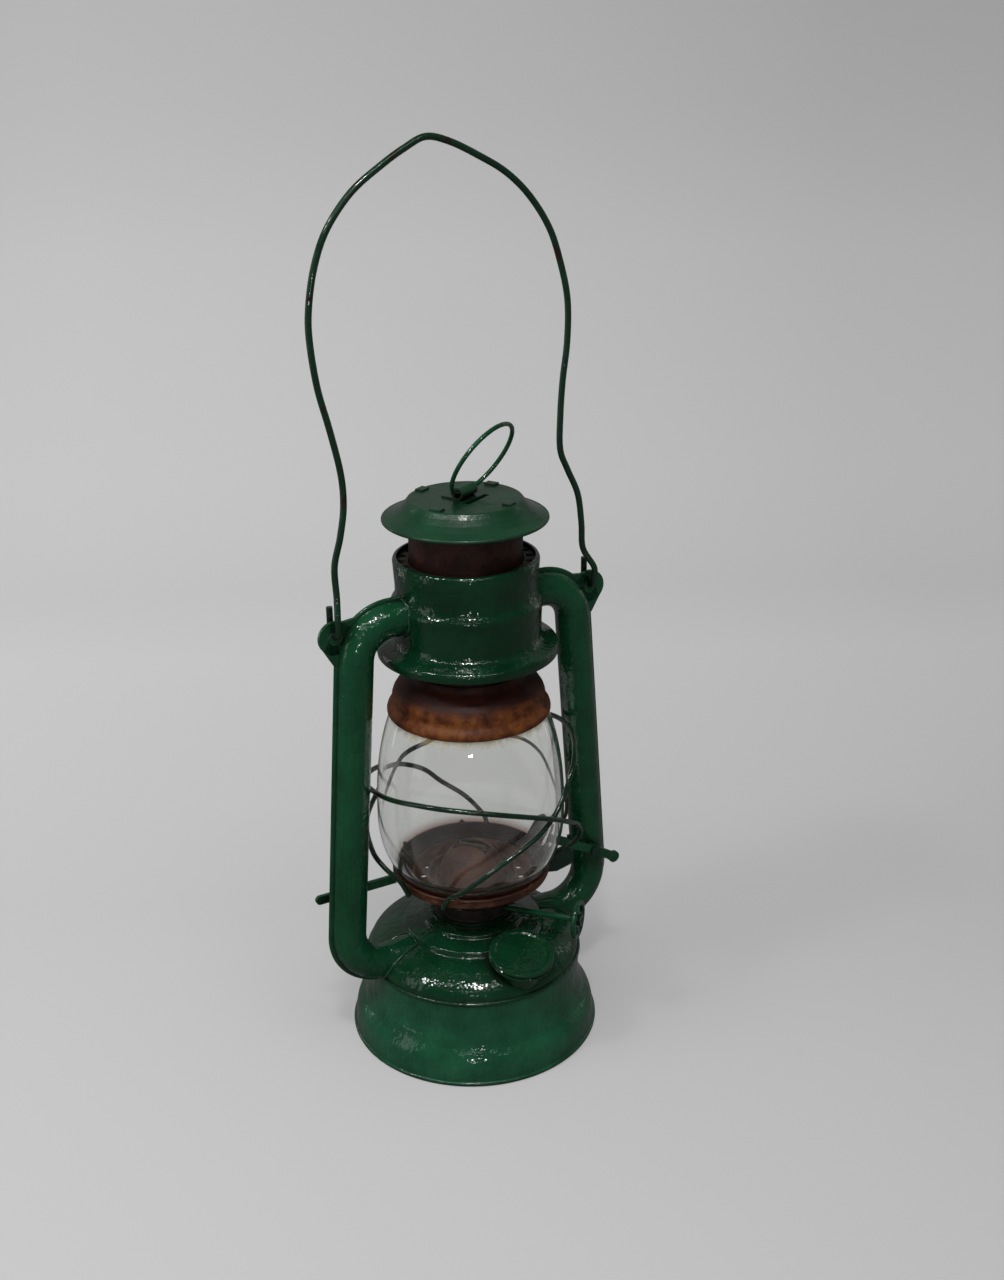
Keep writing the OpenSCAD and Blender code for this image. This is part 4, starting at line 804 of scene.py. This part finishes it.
def area_light(name, azimuth, height, away, size, brightness, seen=True):
    """A light that faces the lamp; azimuth 0 is over the camera, and brightness is its radiance."""
    aim = Vector((0, 0, 0.14))
    a, e = math.radians(azimuth), math.radians(height)
    place = TURN @ Vector((math.sin(a) * math.cos(e), -math.cos(a) * math.cos(e), math.sin(e))) * away + aim
    data = bpy.data.lights.new(name, "AREA")
    data.shape = "RECTANGLE"
    data.size, data.size_y = size
    data.energy = brightness * math.pi * size[0] * size[1]
    light = bpy.data.objects.new(name, data)
    light.location = place
    light.rotation_euler = (aim - place).to_track_quat("-Z", "Y").to_euler()
    light.visible_glossy = seen
    light.visible_transmission = False
    bpy.context.scene.collection.objects.link(light)


def lights():
    """A dim room: soft light from above and the left, a lamp and a long tube over the camera, strips behind."""
    area_light("key_lamp", -2, 58, 1.3, (0.13, 0.1), 105)
    area_light("ceiling_tube", -2, 60, 1.3, (1.5, 0.03), 16)
    area_light("front_tube", 3, 34, 1.2, (0.9, 0.03), 7)
    area_light("left_lamp", -58, 46, 1.2, (0.16, 0.1), 45)
    area_light("low_lamp", 1, 9, 1.3, (0.12, 0.04), 50)
    area_light("right_strip", 122, 12, 0.6, (0.02, 0.5), 1.2)
    area_light("left_strip", -116, 12, 0.6, (0.03, 0.5), 2)
    area_light("left_sheen", -66, 12, 0.9, (0.22, 0.7), 0.8)
    area_light("overhead", 0, 78, 0.8, (0.7, 0.7), 1.8, False)
    area_light("window", -70, 30, 1.1, (0.6, 0.8), 1.6, False)
    world = bpy.data.worlds.new("studio")
    world.use_nodes = True
    tree = world.node_tree
    tree.nodes["Background"].inputs["Color"].default_value = linear("#ffffff")
    strength = add(tree, "ShaderNodeMapRange", [("Value", is_mirrored(tree))])
    strength.inputs["To Min"].default_value = 0.27
    strength.inputs["To Max"].default_value = 0.05
    seen = add(tree, "ShaderNodeMapRange", [("Value", add(tree, "ShaderNodeLightPath").outputs["Is Camera Ray"])])
    seen.inputs["To Max"].default_value = 0.3
    total = add(tree, "ShaderNodeMath", [(0, strength.outputs["Result"]), (1, seen.outputs["Result"])],
                operation="ADD")
    tree.links.new(tree.nodes["Background"].inputs["Strength"], total.outputs["Value"])
    bpy.context.scene.world = world


def camera():
    """The photograph's camera: 1522 px focal length for a frame of 1004 x 1280."""
    data = bpy.data.cameras.new("camera")
    data.sensor_fit = "VERTICAL"
    data.sensor_height = 36.0
    data.lens = 36.0 * 1522.2 / 1280
    data.clip_start = 0.01
    data.clip_end = 50
    pitch, yaw, roll = math.radians(22.202), math.radians(1.3956), math.radians(0.5992)
    forward = Vector((math.sin(yaw) * math.cos(pitch), math.cos(yaw) * math.cos(pitch), -math.sin(pitch)))
    right = Vector((math.cos(yaw), -math.sin(yaw), 0))
    up = right.cross(forward)
    turned_right = math.cos(roll) * right - math.sin(roll) * up
    turned_up = math.sin(roll) * right + math.cos(roll) * up
    axes = Matrix((TURN @ turned_right, TURN @ turned_up, TURN @ -forward)).transposed().to_4x4()
    place = TURN @ Vector((0, -0.5797, 0.41854))
    eye = bpy.data.objects.new("camera", data)
    eye.matrix_world = Matrix.Translation(place) @ axes
    bpy.context.scene.collection.objects.link(eye)
    bpy.context.scene.camera = eye


stage()
lights()
camera()
bpy.context.scene.view_settings.view_transform = "Standard"
